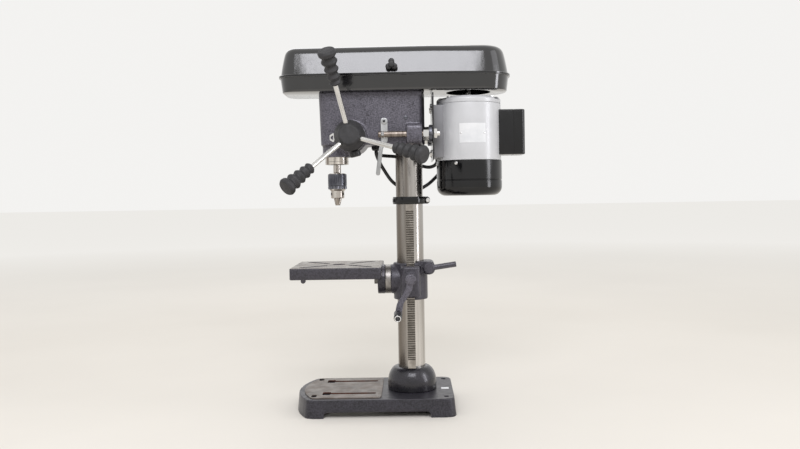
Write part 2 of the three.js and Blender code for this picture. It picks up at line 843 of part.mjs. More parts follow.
function baseCasting() {
  const body = asSolid(
    flared(extruded(outline(baseCorners(0, baseRear)), baseHeight), baseHeight, baseFlare),
  );
  const padOutline = outline(baseCorners(basePadInset, basePadRear));
  const pad = alongZ(padOutline, baseHeight - overrun, baseHeight + basePadHeight);
  const hollowOutline = outline(baseCorners(baseWall, baseRear - baseWall));
  const hollow = alongZ(hollowOutline, -overrun, baseHeight - baseTopThickness);
  const reach = baseHalfWidth + baseFlare + overrun;
  const archCorner = baseArchHeight / 2;
  const arch = alongX(
    outline([
      [baseArchFront, -overrun, 0], [baseArchRear, -overrun, 0],
      [baseArchRear, baseArchHeight, archCorner], [baseArchFront, baseArchHeight, archCorner],
    ]),
    -reach, reach,
  );
  const cutters = [hollow, arch];
  const above = baseHeight + basePadHeight + overrun;
  for (const side of [-1, 1]) {
    const x = side * baseSlotX;
    const half = baseSlotWidth / 2;
    const mouth = baseSlotMouthWidth / 2;
    const mouthRear = baseSlotFront + baseSlotMouthLength;
    cutters.push(
      alongZ(rectangle(x - half, x + half, baseSlotFront, baseSlotRear, half * nearlyRoundShare), 0, above),
    );
    cutters.push(alongZ(rectangle(x - mouth, x + mouth, baseSlotFront, mouthRear, half / 2), 0, above));
    const holeEnd = baseHoleLength / 2;
    const frontX = side * baseFrontHoleX;
    const hole = rectangle(
      frontX - holeEnd, frontX + holeEnd,
      baseFrontHoleY - baseHoleRadius, baseFrontHoleY + baseHoleRadius, baseHoleRadius * nearlyRoundShare,
    );
    cutters.push(alongZ(hole, 0, above));
    cutters.push(
      alongZ(circle(side * baseRearHoleX, baseRearHoleY, baseHoleRadius, smallSteps), -overrun, above),
    );
  }
  return part("base_casting", cut(body.add(pad), cutters), "hammertone");
}

// Column
const flangeBottom = baseHeight + seatGap;
const flangeTop = flangeBottom + flangeHeight;
const columnBottom = flangeBottom + flangeFloor + seatGap;
const columnTop = headBottom + columnHeadDepth;

function columnFlange() {
  const bore = columnRadius + seatGap;
  const shoulder = flangeBottom + flangeStraightHeight;
  const profile = [[flangeFloorHole, flangeBottom], [flangeRadius, flangeBottom]];
  const domeSteps = 6;
  for (let k = 0; k <= domeSteps; k += 1) {
    const angle = (quarterTurn * k) / domeSteps;
    profile.push([
      flangeRimRadius + (flangeRadius - flangeRimRadius) * Math.cos(angle),
      shoulder + (flangeTop - shoulder) * Math.sin(angle),
    ]);
  }
  const floor = flangeBottom + flangeFloor;
  profile.push([bore, flangeTop], [bore, floor], [flangeFloorHole, floor], [flangeFloorHole, flangeBottom]);
  return part("column_flange", turned(profile, largeSteps), "hammertone");
}

function columnTube() {
  const solid = ring(columnRadius - columnWall, columnRadius, columnBottom, columnTop, largeSteps);
  return part("column_tube", solid, "steel");
}

function rackCollar() {
  const top = collarBottom + collarHeight;
  const lugRound = collarLugHalfWidth * nearlyRoundShare;
  const lug = alongZ(
    outline([
      [-collarLugHalfWidth, columnRadius, 0], [collarLugHalfWidth, columnRadius, 0],
      [collarLugHalfWidth, collarLugReach, lugRound], [-collarLugHalfWidth, collarLugReach, lugRound],
    ]),
    collarBottom, top,
  );
  const ears = [-1, 1].map((side) => {
    const angle = -quarterTurn + side * collarEarAngle;
    const ear = extruded(
      rectangle(0, collarEarReach, -collarHeight / 5, collarHeight / 5), collarHeight / 2,
    );
    return asSolid(ear.rotateZ(angle).translate(0, 0, collarBottom + collarHeight / 4));
  });
  const blank = pin(collarRadius, collarBottom, top, largeSteps);
  const bore = pin(columnRadius + seatGap, collarBottom - overrun, top + overrun, largeSteps);
  const slit = alongZ(
    rectangle(-collarSlit / 2, collarSlit / 2, columnRadius / 2, collarLugReach + overrun),
    collarBottom - overrun, top + overrun,
  );
  return part("rack_collar", cut(join([blank, lug, ...ears]), [bore, slit]), "blackPlastic");
}

// The rack stands on the flange's rim under the collar, and swings round the column with the table.
const wheelRadius = (toothModule * wheelTeeth) / 2;
const wheelX = rackPitchDistance + wheelRadius;
const wheelHeight = crankAxisHeight - wormPitchRadius - wheelRadius;

function rack() {
  const back = columnRadius + seatGap;
  const bottom = flangeTop + seatGap;
  const top = collarBottom - seatGap;
  const gapAt = tiltAxisZ + wheelHeight + toothPitch / 2;
  const first = gapAt - Math.floor((gapAt - rackTeethBottom) / toothPitch) * toothPitch;
  const count = Math.floor((rackTeethTop - first) / toothPitch);
  const tip = rackPitchDistance + toothModule * toothAddendumShare;
  const teeth = rackTeeth(rackPitchDistance, first, count, 1);
  const corners = [[back, bottom], [tip, bottom], [tip, teeth[0][1] - toothPitch / 4], ...teeth];
  corners.push([tip, teeth[teeth.length - 1][1] + toothPitch / 4], [tip, top], [back, top]);
  return part("rack", alongY(outline(corners), -rackWidth / 2, rackWidth / 2), "darkSteel");
}

// Table lift, in a frame whose origin is on the column's axis at the height of the tilt axis
const wormTipRadius = wormPitchRadius + toothModule * toothAddendumShare;
const crankBore = crankShaftRadius + runGap;
const studBore = lockStudRadius + runGap;

function tableBracket() {
  const barrel = pin(bracketRadius, bracketBottom, bracketTop, largeSteps);
  const caseOutline = outline([
    [0, -gearCaseHalfWidth, 0], [gearCaseReach, -gearCaseHalfWidth, gearCaseCorner],
    [gearCaseReach, gearCaseHalfWidth, gearCaseCorner], [0, gearCaseHalfWidth, 0],
  ]);
  const caseEnd = bracketTop - gearCaseCorner / 2;
  const gearCase = alongZ(caseOutline, bracketBottom + gearCaseCorner, caseEnd);
  const crankBoss = alongX(
    circle(0, crankAxisHeight, crankHubRadius, smallSteps), bracketRadius, gearCaseReach + 2 * seatGap,
  );
  const ears = alongX(
    outline([
      [columnRadius / 2, lockAxisHeight - lockEarHalfHeight, 0],
      [lockEarReach, lockAxisHeight - lockEarHalfHeight, lockEarHalfHeight * lockEarRoundShare],
      [lockEarReach, lockAxisHeight + lockEarHalfHeight, lockEarHalfHeight * lockEarRoundShare],
      [columnRadius / 2, lockAxisHeight + lockEarHalfHeight, 0],
    ]),
    lockEarFar, lockEarNear,
  );
  const tiltFlange = alongY(circle(0, 0, tiltRadius, largeSteps), tiltFlangeFront, -columnRadius / 2);
  const boltHole = alongY(circle(0, 0, tiltBoltRadius + runGap, smallSteps), tiltFlangeFront - overrun, 0);
  const above = lockAxisHeight + lockEarHalfHeight + overrun;
  const bore = pin(columnRadius + 2 * runGap, bracketBottom - overrun, above, largeSteps);
  const rackTip = rackPitchDistance + toothModule * toothAddendumShare + runGap;
  const rackHalf = rackWidth / 2 + seatGap;
  const rackChannel = alongZ(
    rectangle(0, rackTip, -rackHalf, rackHalf), bracketBottom - overrun, above,
  );
  const wheelTip = wheelRadius + toothModule * toothAddendumShare + 2 * runGap;
  const wheelRoom = wheelHalfWidth + runGap;
  const wheelCavity = alongY(circle(wheelX, wheelHeight, wheelTip, mediumSteps), -wheelRoom, wheelRoom);
  const wheelReach = gearCaseHalfWidth + overrun;
  const wheelBore = alongY(
    circle(wheelX, wheelHeight, wheelPinRadius + runGap, smallSteps), -wheelReach, wheelReach,
  );
  const wormCavity = alongX(
    circle(0, crankAxisHeight, wormTipRadius + 2 * runGap, mediumSteps), columnRadius, wormEnd + 2 * runGap,
  );
  const shaftHole = alongX(
    circle(0, crankAxisHeight, crankBore, smallSteps), wormEnd, gearCaseReach + 2 * overrun,
  );
  const slit = alongZ(
    rectangle(-lockSlit / 2, lockSlit / 2, 0, lockEarReach + overrun), bracketBottom - overrun, above,
  );
  const studHole = alongX(
    circle(lockAxisY, lockAxisHeight, studBore, smallSteps), lockEarFar - overrun, lockEarNear + overrun,
  );
  const solid = cut(join([barrel, gearCase, crankBoss, ears, tiltFlange]), [
    bore, boltHole, rackChannel, wheelCavity, wheelBore, wormCavity, shaftHole, slit, studHole,
  ]);
  return part("table_bracket", solid, "hammertone");
}

function wormWheel() {
  const gear = alongY(gearOutline(wheelTeeth, wheelX, wheelHeight), -wheelHalfWidth, wheelHalfWidth);
  const reach = gearCaseHalfWidth - seatGap;
  const axle = alongY(circle(wheelX, wheelHeight, wheelPinRadius, smallSteps), -reach, reach);
  return part("worm_wheel", gear.add(axle), "darkSteel");
}

// One thread of the worm, as a helix of four-sided rings about the X axis.
function wormThread() {
  const stepsPerTurn = 10;
  const run = wormEnd - wormStart - toothPitch;
  const count = Math.round((run / toothPitch) * stepsPerTurn);
  const root = wormPitchRadius - toothModule * toothDedendumShare - runGap;
  const tip = wormTipRadius - toothModule / 4;
  const baseHalf = toothPitch * threadRootShare;
  const tipHalf = toothPitch * threadTipShare;
  const section = [[root, -baseHalf], [tip, -tipHalf], [tip, tipHalf], [root, baseHalf]];
  const middle = (wormStart + wormEnd) / 2;
  const phase = (fullTurn * (wheelX - middle)) / toothPitch;
  const positions = [];
  const triangles = [];
  for (let k = 0; k <= count; k += 1) {
    const along = (k / stepsPerTurn) * toothPitch - run / 2;
    const angle = (fullTurn * along) / toothPitch - phase + quarterTurn + Math.PI;
    for (const [radius, shift] of section) {
      positions.push(
        middle + along + shift, radius * Math.cos(angle), crankAxisHeight + radius * Math.sin(angle),
      );
    }
  }
  for (let k = 0; k < count; k += 1) {
    for (let i = 0; i < section.length; i += 1) {
      const a = k * section.length + i;
      const b = k * section.length + ((i + 1) % section.length);
      triangles.push(a, a + section.length, b + section.length, a, b + section.length, b);
    }
  }
  const last = count * section.length;
  triangles.push(0, 1, 2, 0, 2, 3, last, last + 2, last + 1, last, last + 3, last + 2);
  const geometry = new THREE.BufferGeometry();
  geometry.setAttribute("position", new THREE.Float32BufferAttribute(positions, 3));
  geometry.setIndex(triangles);
  return asSolid(geometry);
}

function crank() {
  const rootRadius = wormPitchRadius - toothModule * toothDedendumShare;
  const hubStart = gearCaseReach + 2 * seatGap + runGap;
  const armEnd = crankArmStart + crankArmThickness;
  const profile = [
    [0, wormStart], [rootRadius, wormStart], [rootRadius, wormEnd], [crankShaftRadius, wormEnd],
    [crankShaftRadius, hubStart], [crankHubRadius, hubStart], [crankHubRadius, armEnd],
    [crankHubRadius * crankNoseShare, armEnd + crankArmThickness / 2], [0, armEnd + crankArmThickness / 2],
  ];
  const shaft = asSolid(
    turnedGeometry(profile, smallSteps).rotateY(quarterTurn).translate(0, 0, crankAxisHeight),
  );
  const width = crankArmWidth / 2;
  const gripY = -crankForward;
  const gripZ = crankAxisHeight - crankDrop;
  const bend = crankForward / 3;
  const middleZ = (crankAxisHeight + gripZ) / 2;
  const arm = alongX(
    outline([
      [-width, crankAxisHeight, 0], [-width - bend / 2, middleZ + crankDrop / 5, crankArmWidth * 2],
      [gripY - width + bend / 2, middleZ - crankDrop / 5, crankArmWidth * 2], [gripY - width, gripZ, 0],
      [gripY + width, gripZ, 0], [gripY + width + bend / 2, middleZ - crankDrop / 5, crankArmWidth],
      [width - bend / 2, middleZ + crankDrop / 5, crankArmWidth], [width, crankAxisHeight, 0],
    ]),
    crankArmStart, armEnd,
  );
  const eye = alongX(circle(gripY, gripZ, width * crankEyeShare, smallSteps), crankArmStart, armEnd);
  const pinEnd = armEnd + crankGripLength;
  const gripPin = alongX(
    circle(gripY, gripZ, crankGripPinRadius, tinySteps), armEnd - overrun, pinEnd + 2 * runGap,
  );
  const head = alongX(
    circle(gripY, gripZ, crankGripHeadRadius, tinySteps), pinEnd + 2 * runGap, pinEnd + crankGripPinRadius,
  );
  return part("crank", join([shaft, wormThread(), arm, eye, gripPin, head]), "darkCast");
}

function crankGrip() {
  const start = crankArmStart + crankArmThickness + runGap;
  const end = start + crankGripLength - runGap;
  const bore = crankGripPinRadius + runGap;
  const round = crankGripRadius / 4;
  const profile = [
    [bore, start], [crankGripRadius - round, start], [crankGripRadius, start + round],
    [crankGripRadius, end - round], [crankGripRadius - round, end], [bore, end], [bore, start],
  ];
  const geometry = turnedGeometry(profile, smallSteps).rotateY(quarterTurn);
  const solid = asSolid(geometry.translate(0, -crankForward, crankAxisHeight - crankDrop));
  return part("crank_grip", solid, "blackPlastic");
}

function lockLever() {
  const hubStart = lockEarNear + runGap;
  const hubEnd = hubStart + lockHubLength;
  const hub = alongX(circle(lockAxisY, lockAxisHeight, lockHubRadius, mediumSteps), hubStart, hubEnd);
  const farEnd = lockEarFar - seatGap;
  const stud = alongX(
    circle(lockAxisY, lockAxisHeight, lockStudRadius, smallSteps), farEnd - lockNutLength,
    hubStart + overrun,
  );
  const nut = alongX(
    circle(lockAxisY, lockAxisHeight, lockNutRadius, hexSides), farEnd - lockNutLength, farEnd,
  );
  const rodX = (hubStart + hubEnd) / 2;
  const rod = asSolid(
    turnedGeometry(
      [
        [0, 0], [lockRodRadius, 0], [lockRodRadius, lockRodReach - edgeBreak],
        [lockRodRadius - edgeBreak, lockRodReach], [0, lockRodReach],
      ],
      tinySteps,
    ).rotateX(-quarterTurn + lockRodAngle).translate(rodX, lockAxisY, lockAxisHeight),
  );
  return part("lock_lever", join([hub, stud, nut, rod]), "darkCast");
}

function tiltRing() {
  const front = tiltRingFront + runGap;
  const rear = tiltFlangeFront - runGap;
  const blank = alongY(circle(0, 0, tiltRadius - seatGap, largeSteps), front, rear);
  const hole = alongY(circle(0, 0, tiltBoltRadius + runGap, smallSteps), front - overrun, rear + overrun);
  return part("tilt_ring", blank.subtract(hole), "steel");
}

function tiltBolt() {
  const headRear = tiltBlockFront - runGap;
  const head = alongY(circle(0, 0, tiltBoltHead, hexSides), headRear - tiltBoltHeadLength, headRear);
  const shank = alongY(circle(0, 0, tiltBoltRadius, smallSteps), headRear - overrun, tiltBoltEnd - seatGap);
  return part("tilt_bolt", head.add(shank), "darkSteel");
}

function workTable() {
  const front = tableRear - tableDepth;
  const bottom = tableTop - tableSkirt;
  const middle = (front + tableRear) / 2;
  const inner = tableHalfWidth - tableWall;
  const plate = alongZ(
    rectangle(-tableHalfWidth, tableHalfWidth, front, tableRear, tableCorner), bottom, tableTop,
  );
  const hollow = alongZ(
    rectangle(-inner, inner, front + tableWall, tableRear - tableWall, tableCorner), bottom - overrun,
    tableTop - tableThickness,
  );
  const block = alongY(circle(0, 0, tiltRadius, largeSteps), tiltBlockFront, tiltRingFront - runGap);
  const bolt = alongY(circle(0, 0, tiltBoltRadius + runGap, smallSteps), tiltBlockFront - overrun, 0);
  const lugHalf = tableLugWidth / 2;
  const lug = alongX(
    outline([
      [tableLugY - lugHalf, bottom - tableLugDrop, lugHalf * nearlyRoundShare],
      [tableLugY + lugHalf, bottom - tableLugDrop, lugHalf * nearlyRoundShare],
      [tableLugY + lugHalf, tableTop - overrun, 0], [tableLugY - lugHalf, tableTop - overrun, 0],
    ]),
    -lugHalf, lugHalf,
  );
  const cutters = [
    bolt, pinAt(0, middle, tableHoleRadius, bottom - overrun, tableTop + overrun, mediumSteps),
  ];
  const slotHalf = tableSlotWidth / 2;
  for (let k = 0; k < 4; k += 1) {
    const slot = extruded(
      rectangle(tableSlotStart, tableSlotEnd, -slotHalf, slotHalf, slotHalf * nearlyRoundShare),
      tableSkirt + 2 * overrun,
    );
    cutters.push(asSolid(slot.rotateZ(quarterTurn * (k + 1 / 2)).translate(0, middle, bottom - overrun)));
  }
  const body = join([plate.subtract(hollow), block, lug]);
  return part("table", cut(body, cutters), "groundIron");
}

function pinAt(x, y, radius, from, to, steps = smallSteps) {
  return alongZ(circle(x, y, radius, steps), from, to);
}

// Head
const quillRackPitch = pinionY - pinionRadius;

function headCasting() {
  const side = alongX(
    outline(
      [
        [headFront, headBottom, 0], [headRear, headBottom, 0], [headRear, headTop, 0],
        [headFrontTop, headTop, 0],
      ],
    ),
    -headHalfWidth - slideBossReach, headHalfWidth + slideBossReach,
  );
  const plan = alongZ(
    outline([
      [headHalfWidth, headRear, headCorner / 2], [-headHalfWidth, headRear, headCorner / 2],
      [-headHalfWidth, headFrontTop, headCorner], [headHalfWidth, headFrontTop, headCorner],
    ]),
    headBottom - overrun, headTop + overrun,
  );
  const columnBoss = pin(headColumnBoss, headBottom, headTop, largeSteps);
  const barrel = pinAt(0, spindleY, barrelRadius, barrelBottom, headTop - headWall, largeSteps);
  const pinionBoss = alongX(
    circle(pinionY, pinionZ, pinionBossRadius, mediumSteps), -pinionBossReach, pinionBossReach,
  );
  const bosses = [-1, 1].map((sign) => {
    const inner = sign * (headHalfWidth - headWall);
    const outer = sign * slideBossReach;
    const low = slideRodZ - slideBossHalfHeight + overrun;
    const high = slideRodZ + slideBossHalfHeight;
    const boss = outline([
      [inner, low, 0], [outer, low, slideBossCorner], [outer, high, slideBossCorner], [inner, high, 0],
    ]);
    return alongY(boss, slideBossFront, slideBossRear);
  });
  const body = join([side.intersect(plan), columnBoss, barrel, pinionBoss, ...bosses]);

  const quillHole = pinAt(
    0, spindleY, quillRadius + runGap, barrelBottom - overrun, sleeveBottom, largeSteps,
  );
  const sleeveHole = pinAt(
    0, spindleY, sleeveRadius + runGap, sleeveBottom - overrun, headTop + overrun, mediumSteps,
  );
  const columnHole = pin(columnRadius + seatGap, headBottom - overrun, columnTop + seatGap, largeSteps);
  const shaftHole = alongX(
    circle(pinionY, pinionZ, pinionShaftRadius + runGap, smallSteps), 0, pinionBossReach + overrun,
  );
  const journalHole = alongX(
    circle(pinionY, pinionZ, pinionJournalRadius + runGap, mediumSteps), -pinionBossReach - overrun,
    pinionHalfWidth + seatGap,
  );
  const pocketSide = headHalfWidth - headWall;
  const pocket = alongZ(
    rectangle(-pocketSide, pocketSide, headPocketFront, headPocketRear, headCorner / 2), headPocketFloor,
    headTop + overrun,
  );
  const wiringHole = alongX(
    circle(wiringHoleY, wiringHoleZ, wiringHoleRadius, tinySteps), -headHalfWidth - overrun, 0,
  );
  const glandHole = pinAt(
    glandX, glandY, glandStubRadius + seatGap, headBottom - overrun, headPocketFloor + overrun, tinySteps,
  );
  const leverHole = alongX(
    circle(leverPivotY, leverPivotZ, leverScrewRadius + runGap, tinySteps),
    headHalfWidth - headWall - overrun, headHalfWidth + overrun,
  );
  const rodHoles = [-1, 1].map((sign) => alongY(
    circle(sign * slideRodX, slideRodZ, slideRodRadius + runGap, smallSteps), slideBossFront - overrun,
    slideBossRear + overrun,
  ));
  const cutters = [
    quillHole, sleeveHole, columnHole, shaftHole, journalHole, pocket, wiringHole, glandHole, leverHole,
  ];
  return part("head_casting", cut(body, [...cutters, ...rodHoles]), "hammertone");
}

// Quill and spindle, in a frame on the spindle's axis
function quill() {
  const blank = pin(quillRadius, quillBottom, quillTop, largeSteps);
  const bore = pin(quillBore, quillBottom - overrun, quillTop + overrun, mediumSteps);
  const seat = bearingRadius + seatGap / 2;
  const lowSeat = pin(seat, quillBottom - overrun, quillBottom + bearingHeight + seatGap, mediumSteps);
  const highSeat = pin(seat, quillTop - bearingHeight - seatGap, quillTop + overrun, mediumSteps);
  const rackAcross = quillRackPitch - spindleY;
  const first = pinionZ - rackSpareTeeth * toothPitch;
  const count = Math.ceil(quillTravel / toothPitch) + 2 * rackSpareTeeth;
  const teeth = rackTeeth(rackAcross, first, count, 1);
  const outside = quillRadius + overrun;
  const trough = alongX(
    outline([[outside, teeth[0][1]], ...teeth, [outside, teeth[teeth.length - 1][1]]]),
    -pinionHalfWidth - seatGap, pinionHalfWidth + seatGap,
  );
  return part("quill", cut(blank, [bore, lowSeat, highSeat, trough]), "steel");
}

function bearing(name, bottom) {
  return part(
    name, ring(bearingBore, bearingRadius, bottom, bottom + bearingHeight, mediumSteps), "darkSteel",
  );
}

function splineSolid(reach, halfWidth, radius, from, to) {
  const core = pin(radius, from, to, mediumSteps);
  const ridges = [];
  for (let k = 0; k < spindleSplineCount / 2; k += 1) {
    const ridge = extruded(rectangle(-reach, reach, -halfWidth, halfWidth), to - from);
    ridges.push(asSolid(ridge.rotateZ((fullTurn * k) / spindleSplineCount).translate(0, 0, from)));
  }
  return join([core, ...ridges]);
}

function spindle() {
  const journal = bearingBore - runGap;
  const profile = [
    [0, taperBottom], [taperBottomRadius, taperBottom], [taperTopRadius, chuckTop],
    [spindleNeckRadius * neckChamferShare, spindleNeckBottom],
    [spindleNeckRadius, spindleNeckBottom + edgeBreak],
    [spindleNeckRadius, quillBottom - edgeBreak], [journal, quillBottom - edgeBreak],
    [journal, spindleShoulder], [0, spindleShoulder],
  ];
  const splines = splineSolid(
    spindleSplineReach, spindleSplineHalfWidth, spindleSplineRadius, spindleShoulder - overrun, pulleyTop,
  );
  return part("spindle", turned(profile, mediumSteps).add(splines), "steel");
}

function jawSolid() {
  const axisAtTip = jawTipOffset;
  const drop = jawRadius * Math.tan(jawAngle) + overrun;
  const shank = asSolid(
    turnedGeometry([[0, -drop], [jawRadius, -drop], [jawRadius, jawLength], [0, jawLength]], smallSteps)
      .rotateY(jawAngle).translate(axisAtTip, 0, jawTip),
  );
  const reach = 3 * chuckBodyRadius;
  const gap = seatGap / 2;
  const edge = gap / Math.sin(fullTurn / 6);
  const wedge = new THREE.Shape([
    new THREE.Vector2(edge, 0), new THREE.Vector2(edge + reach / 2, -reach * Math.sin(fullTurn / 6)),
    new THREE.Vector2(edge + reach / 2, reach * Math.sin(fullTurn / 6)),
  ]);
  return shank.intersect(alongZ(wedge, jawTip, chuckTop));
}

function chuckBody() {
  const neck = chuckShoulder - chuckBodyRadius + chuckNoseRadius;
  const profile = [
    [0, chuckBottom], [chuckNoseRadius - edgeBreak, chuckBottom],
    [chuckNoseRadius, chuckBottom + edgeBreak],
    [chuckNoseRadius, neck], [chuckBodyRadius, chuckShoulder], [chuckBodyRadius, chuckTop], [0, chuckTop],
  ];
  const taperStart = taperBottom - seatGap;
  const taper = turned([
    [0, taperStart], [taperBottomRadius + seatGap, taperStart],
    [taperTopRadius + seatGap, chuckTop + overrun], [0, chuckTop + overrun],
  ], mediumSteps);
  const cutters = [taper];
  const boreRadius = jawRadius + runGap;
  const boreLength = jawLength + jawTravel + overrun;
  const keyHoleStart = chuckNoseRadius - chuckKeyHoleDepth;
  const keyHoleEnd = chuckNoseRadius + chuckKeyHoleDepth;
  for (let k = 0; k < jawCount; k += 1) {
    const angle = (fullTurn * k) / jawCount;
    const bore = turnedGeometry(
      [[0, -jawRadius], [boreRadius, -jawRadius], [boreRadius, boreLength], [0, boreLength]], smallSteps,
    );
    cutters.push(asSolid(bore.rotateY(jawAngle).translate(jawTipOffset, 0, jawTip).rotateZ(angle)));
    const keyHole = turnedGeometry([
      [0, keyHoleStart], [chuckKeyHoleRadius, keyHoleStart], [chuckKeyHoleRadius, keyHoleEnd],
      [0, keyHoleEnd],
    ], tinySteps);
    cutters.push(
      asSolid(keyHole.rotateY(quarterTurn).translate(0, 0, chuckKeyHoleZ).rotateZ(angle + Math.PI)),
    );
  }
  return part("chuck_body", cut(turned(profile, mediumSteps), cutters), "steel");
}

function chuckSleeve() {
  const inner = chuckBodyRadius + runGap;
  const bottom = chuckShoulder + seatGap;
  const top = chuckTop - edgeBreak;
  const shoulder = bottom + chuckSleeveToothHeight;
  const toothRoot = chuckSleeveRadius - chuckSleeveToothDepth;
  const barrel = turned([
    [inner, shoulder - overrun], [toothRoot, shoulder - overrun], [toothRoot, shoulder],
    [chuckSleeveRadius, shoulder + chuckSleeveToothDepth], [chuckSleeveRadius, top - edgeBreak],
    [chuckSleeveRadius - edgeBreak, top], [inner, top], [inner, shoulder - overrun],
  ], largeSteps);
  const points = [];
  for (let k = 0; k < 4 * chuckSleeveTeeth; k += 1) {
    const radius = k % 4 < 2 ? chuckSleeveRadius : toothRoot;
    const angle = (fullTurn * (k + 1 / 2)) / (4 * chuckSleeveTeeth);
    points.push(new THREE.Vector2(radius * Math.cos(angle), radius * Math.sin(angle)));
  }
  const teeth = alongZ(new THREE.Shape(points), bottom, shoulder);
  const bore = pin(inner, bottom - overrun, shoulder + overrun, largeSteps);
  return part("chuck_sleeve", barrel.add(teeth.subtract(bore)), "darkSteel");
}

function jaws() {
  const meshes = [];
  for (let k = 0; k < jawCount; k += 1) {
    const jaw = part(`jaw_${k + 1}`, jawSolid(), "steel");
    meshes.push(grouped([jaw], [0, 0, 0], [0, 0, (fullTurn * k) / jawCount]));
  }
  return meshes;
}

// Feed, in a frame on the pinion's axis
function pinionShaft() {
  const gear = alongX(gearOutline(pinionTeeth, 0, 0), -pinionHalfWidth, pinionHalfWidth);
  const core = pinionRadius - toothModule * toothDedendumShare;
  const shaft = turnedAboutX([
    [0, springStubEnd], [springStubRadius, springStubEnd], [springStubRadius, -pinionBossReach],
    [pinionJournalRadius, -pinionBossReach], [pinionJournalRadius, -pinionHalfWidth - overrun],
    [core, -pinionHalfWidth - overrun], [core, pinionHalfWidth], [pinionShaftRadius, pinionHalfWidth],
    [pinionShaftRadius, hubFront - 2 * hubRounding], [0, hubFront - 2 * hubRounding],
  ], smallSteps);
  return part("pinion_shaft", gear.add(shaft), "steel");
}

function feedHub() {
  const flangeStart = depthRingEnd + seatGap;
  const start = depthRingStart;
  const bore = pinionShaftRadius + runGap;
  const boreEnd = hubFront - 2 * hubRounding + seatGap;
  const body = turnedAboutX([
    [0, start], [hubBossRadius, start], [hubBossRadius, flangeStart], [hubFlangeRadius, flangeStart],
    [hubFlangeRadius, hubFlangeEnd], [hubFrontRadius + hubRounding, hubFlangeEnd + hubRounding],
    [hubFrontRadius + hubRounding / 2, (hubFlangeEnd + hubFront) / 2],
    [hubFrontRadius, hubFront - hubRounding],
    [hubFrontRadius - hubRounding, hubFront], [0, hubFront],
  ], mediumSteps);
  const cutters = [alongX(circle(0, 0, bore, smallSteps), start - overrun, boreEnd)];
  for (let k = 0; k < spokeCount; k += 1) {
    const socket = turnedGeometry([
      [0, spokeStart - seatGap], [spokeRadius + runGap, spokeStart - seatGap],
      [spokeRadius + runGap, spokeStart + 3 * spokeSocketDepth], [0, spokeStart + 3 * spokeSocketDepth],
    ], smallSteps);
    socket.rotateY(spokeLean).translate(spokeRootX, 0, 0);
    cutters.push(asSolid(socket.rotateX(spokeFirstAngle + (fullTurn * k) / spokeCount)));
  }
  return part("feed_hub", cut(body, cutters), "rubber");
}

function spokeProfile() {
  return [
    [0, spokeStart], [spokeRadius, spokeStart], [spokeRadius, spokeEnd - edgeBreak],
    [spokeRadius - edgeBreak, spokeEnd], [0, spokeEnd],
  ];
}

// Radii and places along the grip, as shares of its widest radius and its length
const gripShares = [
  [0.5, 0], [0.62, 0.07], [0.52, 0.13], [0.7, 0.22], [0.57, 0.3], [0.78, 0.4], [0.63, 0.48],
  [0.87, 0.6], [0.73, 0.68], [0.97, 0.78], [1, 0.87], [0.88, 0.96],
];

function gripSolid() {
  const length = gripEnd - gripStart;
  const bore = spokeRadius + seatGap;
  const boreEnd = spokeEnd + seatGap;
  const outside = gripShares.map(
    ([radiusShare, lengthShare]) => [gripRadius * radiusShare, gripStart + length * lengthShare],
  );
  return turned(
    [[bore, gripStart], ...outside, [0, gripEnd], [0, boreEnd], [bore, boreEnd], [bore, gripStart]],
    smallSteps,
  );
}

function feedHandles() {
  const groups = [];
  for (let k = 0; k < spokeCount; k += 1) {
    const spoke = part(`spoke_${k + 1}`, turned(spokeProfile(), tinySteps), "zinc");
    const grip = part(`grip_${k + 1}`, gripSolid(), "rubber");
    const leaning = grouped([spoke, grip], [spokeRootX, 0, 0], [0, spokeLean, 0]);
    groups.push(grouped([leaning], [0, 0, 0], [spokeFirstAngle + (fullTurn * k) / spokeCount, 0, 0]));
  }
  return groups;
}

function depthRing() {
  const inner = hubBossRadius + runGap;
  const bevel = edgeBreak;
  const body = turnedAboutX([
    [inner, depthRingStart], [depthRingRadius - bevel, depthRingStart],
    [depthRingRadius, depthRingStart + bevel],
    [depthRingRadius, depthRingEnd - bevel], [depthRingRadius - bevel, depthRingEnd],
    [inner, depthRingEnd], [inner, depthRingStart],
  ], largeSteps);
  const hole = turnedGeometry([
    [0, 0], [depthKnobScrewRadius + runGap, 0], [depthKnobScrewRadius + runGap, 2 * depthRingRadius],
    [0, 2 * depthRingRadius],
  ], tinySteps);
  hole.rotateX(depthKnobAngle).translate(depthKnobX, 0, 0);
  return part("depth_ring", body.subtract(asSolid(hole)), "zinc");
}

function depthLockKnob() {
  const seat = depthRingRadius + seatGap;
  const top = seat + depthKnobHeight;
  const tip = hubBossRadius + 2 * seatGap;
  const profile = [
    [0, tip], [depthKnobScrewRadius, tip], [depthKnobScrewRadius, seat],
    [depthKnobRadius - edgeBreak, seat],
    [depthKnobRadius, seat + edgeBreak], [depthKnobRadius, top - edgeBreak],
    [depthKnobRadius - edgeBreak, top], [0, top],
  ];
  const knob = part("depth_lock_knob", turned(profile, smallSteps), "blackPlastic");
  return grouped([knob], [depthKnobX, 0, 0], [depthKnobAngle, 0, 0]);
}

function depthPointer() {
  const start = headHalfWidth + runGap;
  const halfWidth = pointerWidth / 2;
  const tip = pinionY - pinionBossRadius - seatGap;
  const blade = alongX(
    outline([
      [pointerFront, pinionZ - halfWidth, 0], [pointerFront + halfWidth / 2, pinionZ - halfWidth, 0],
      [tip, pinionZ, 0], [pointerFront + halfWidth / 2, pinionZ + halfWidth, 0],
      [pointerFront, pinionZ + halfWidth, 0],
    ]),
    start, start + pointerThickness,
  );
  return part("depth_pointer", blade, "zinc");
}

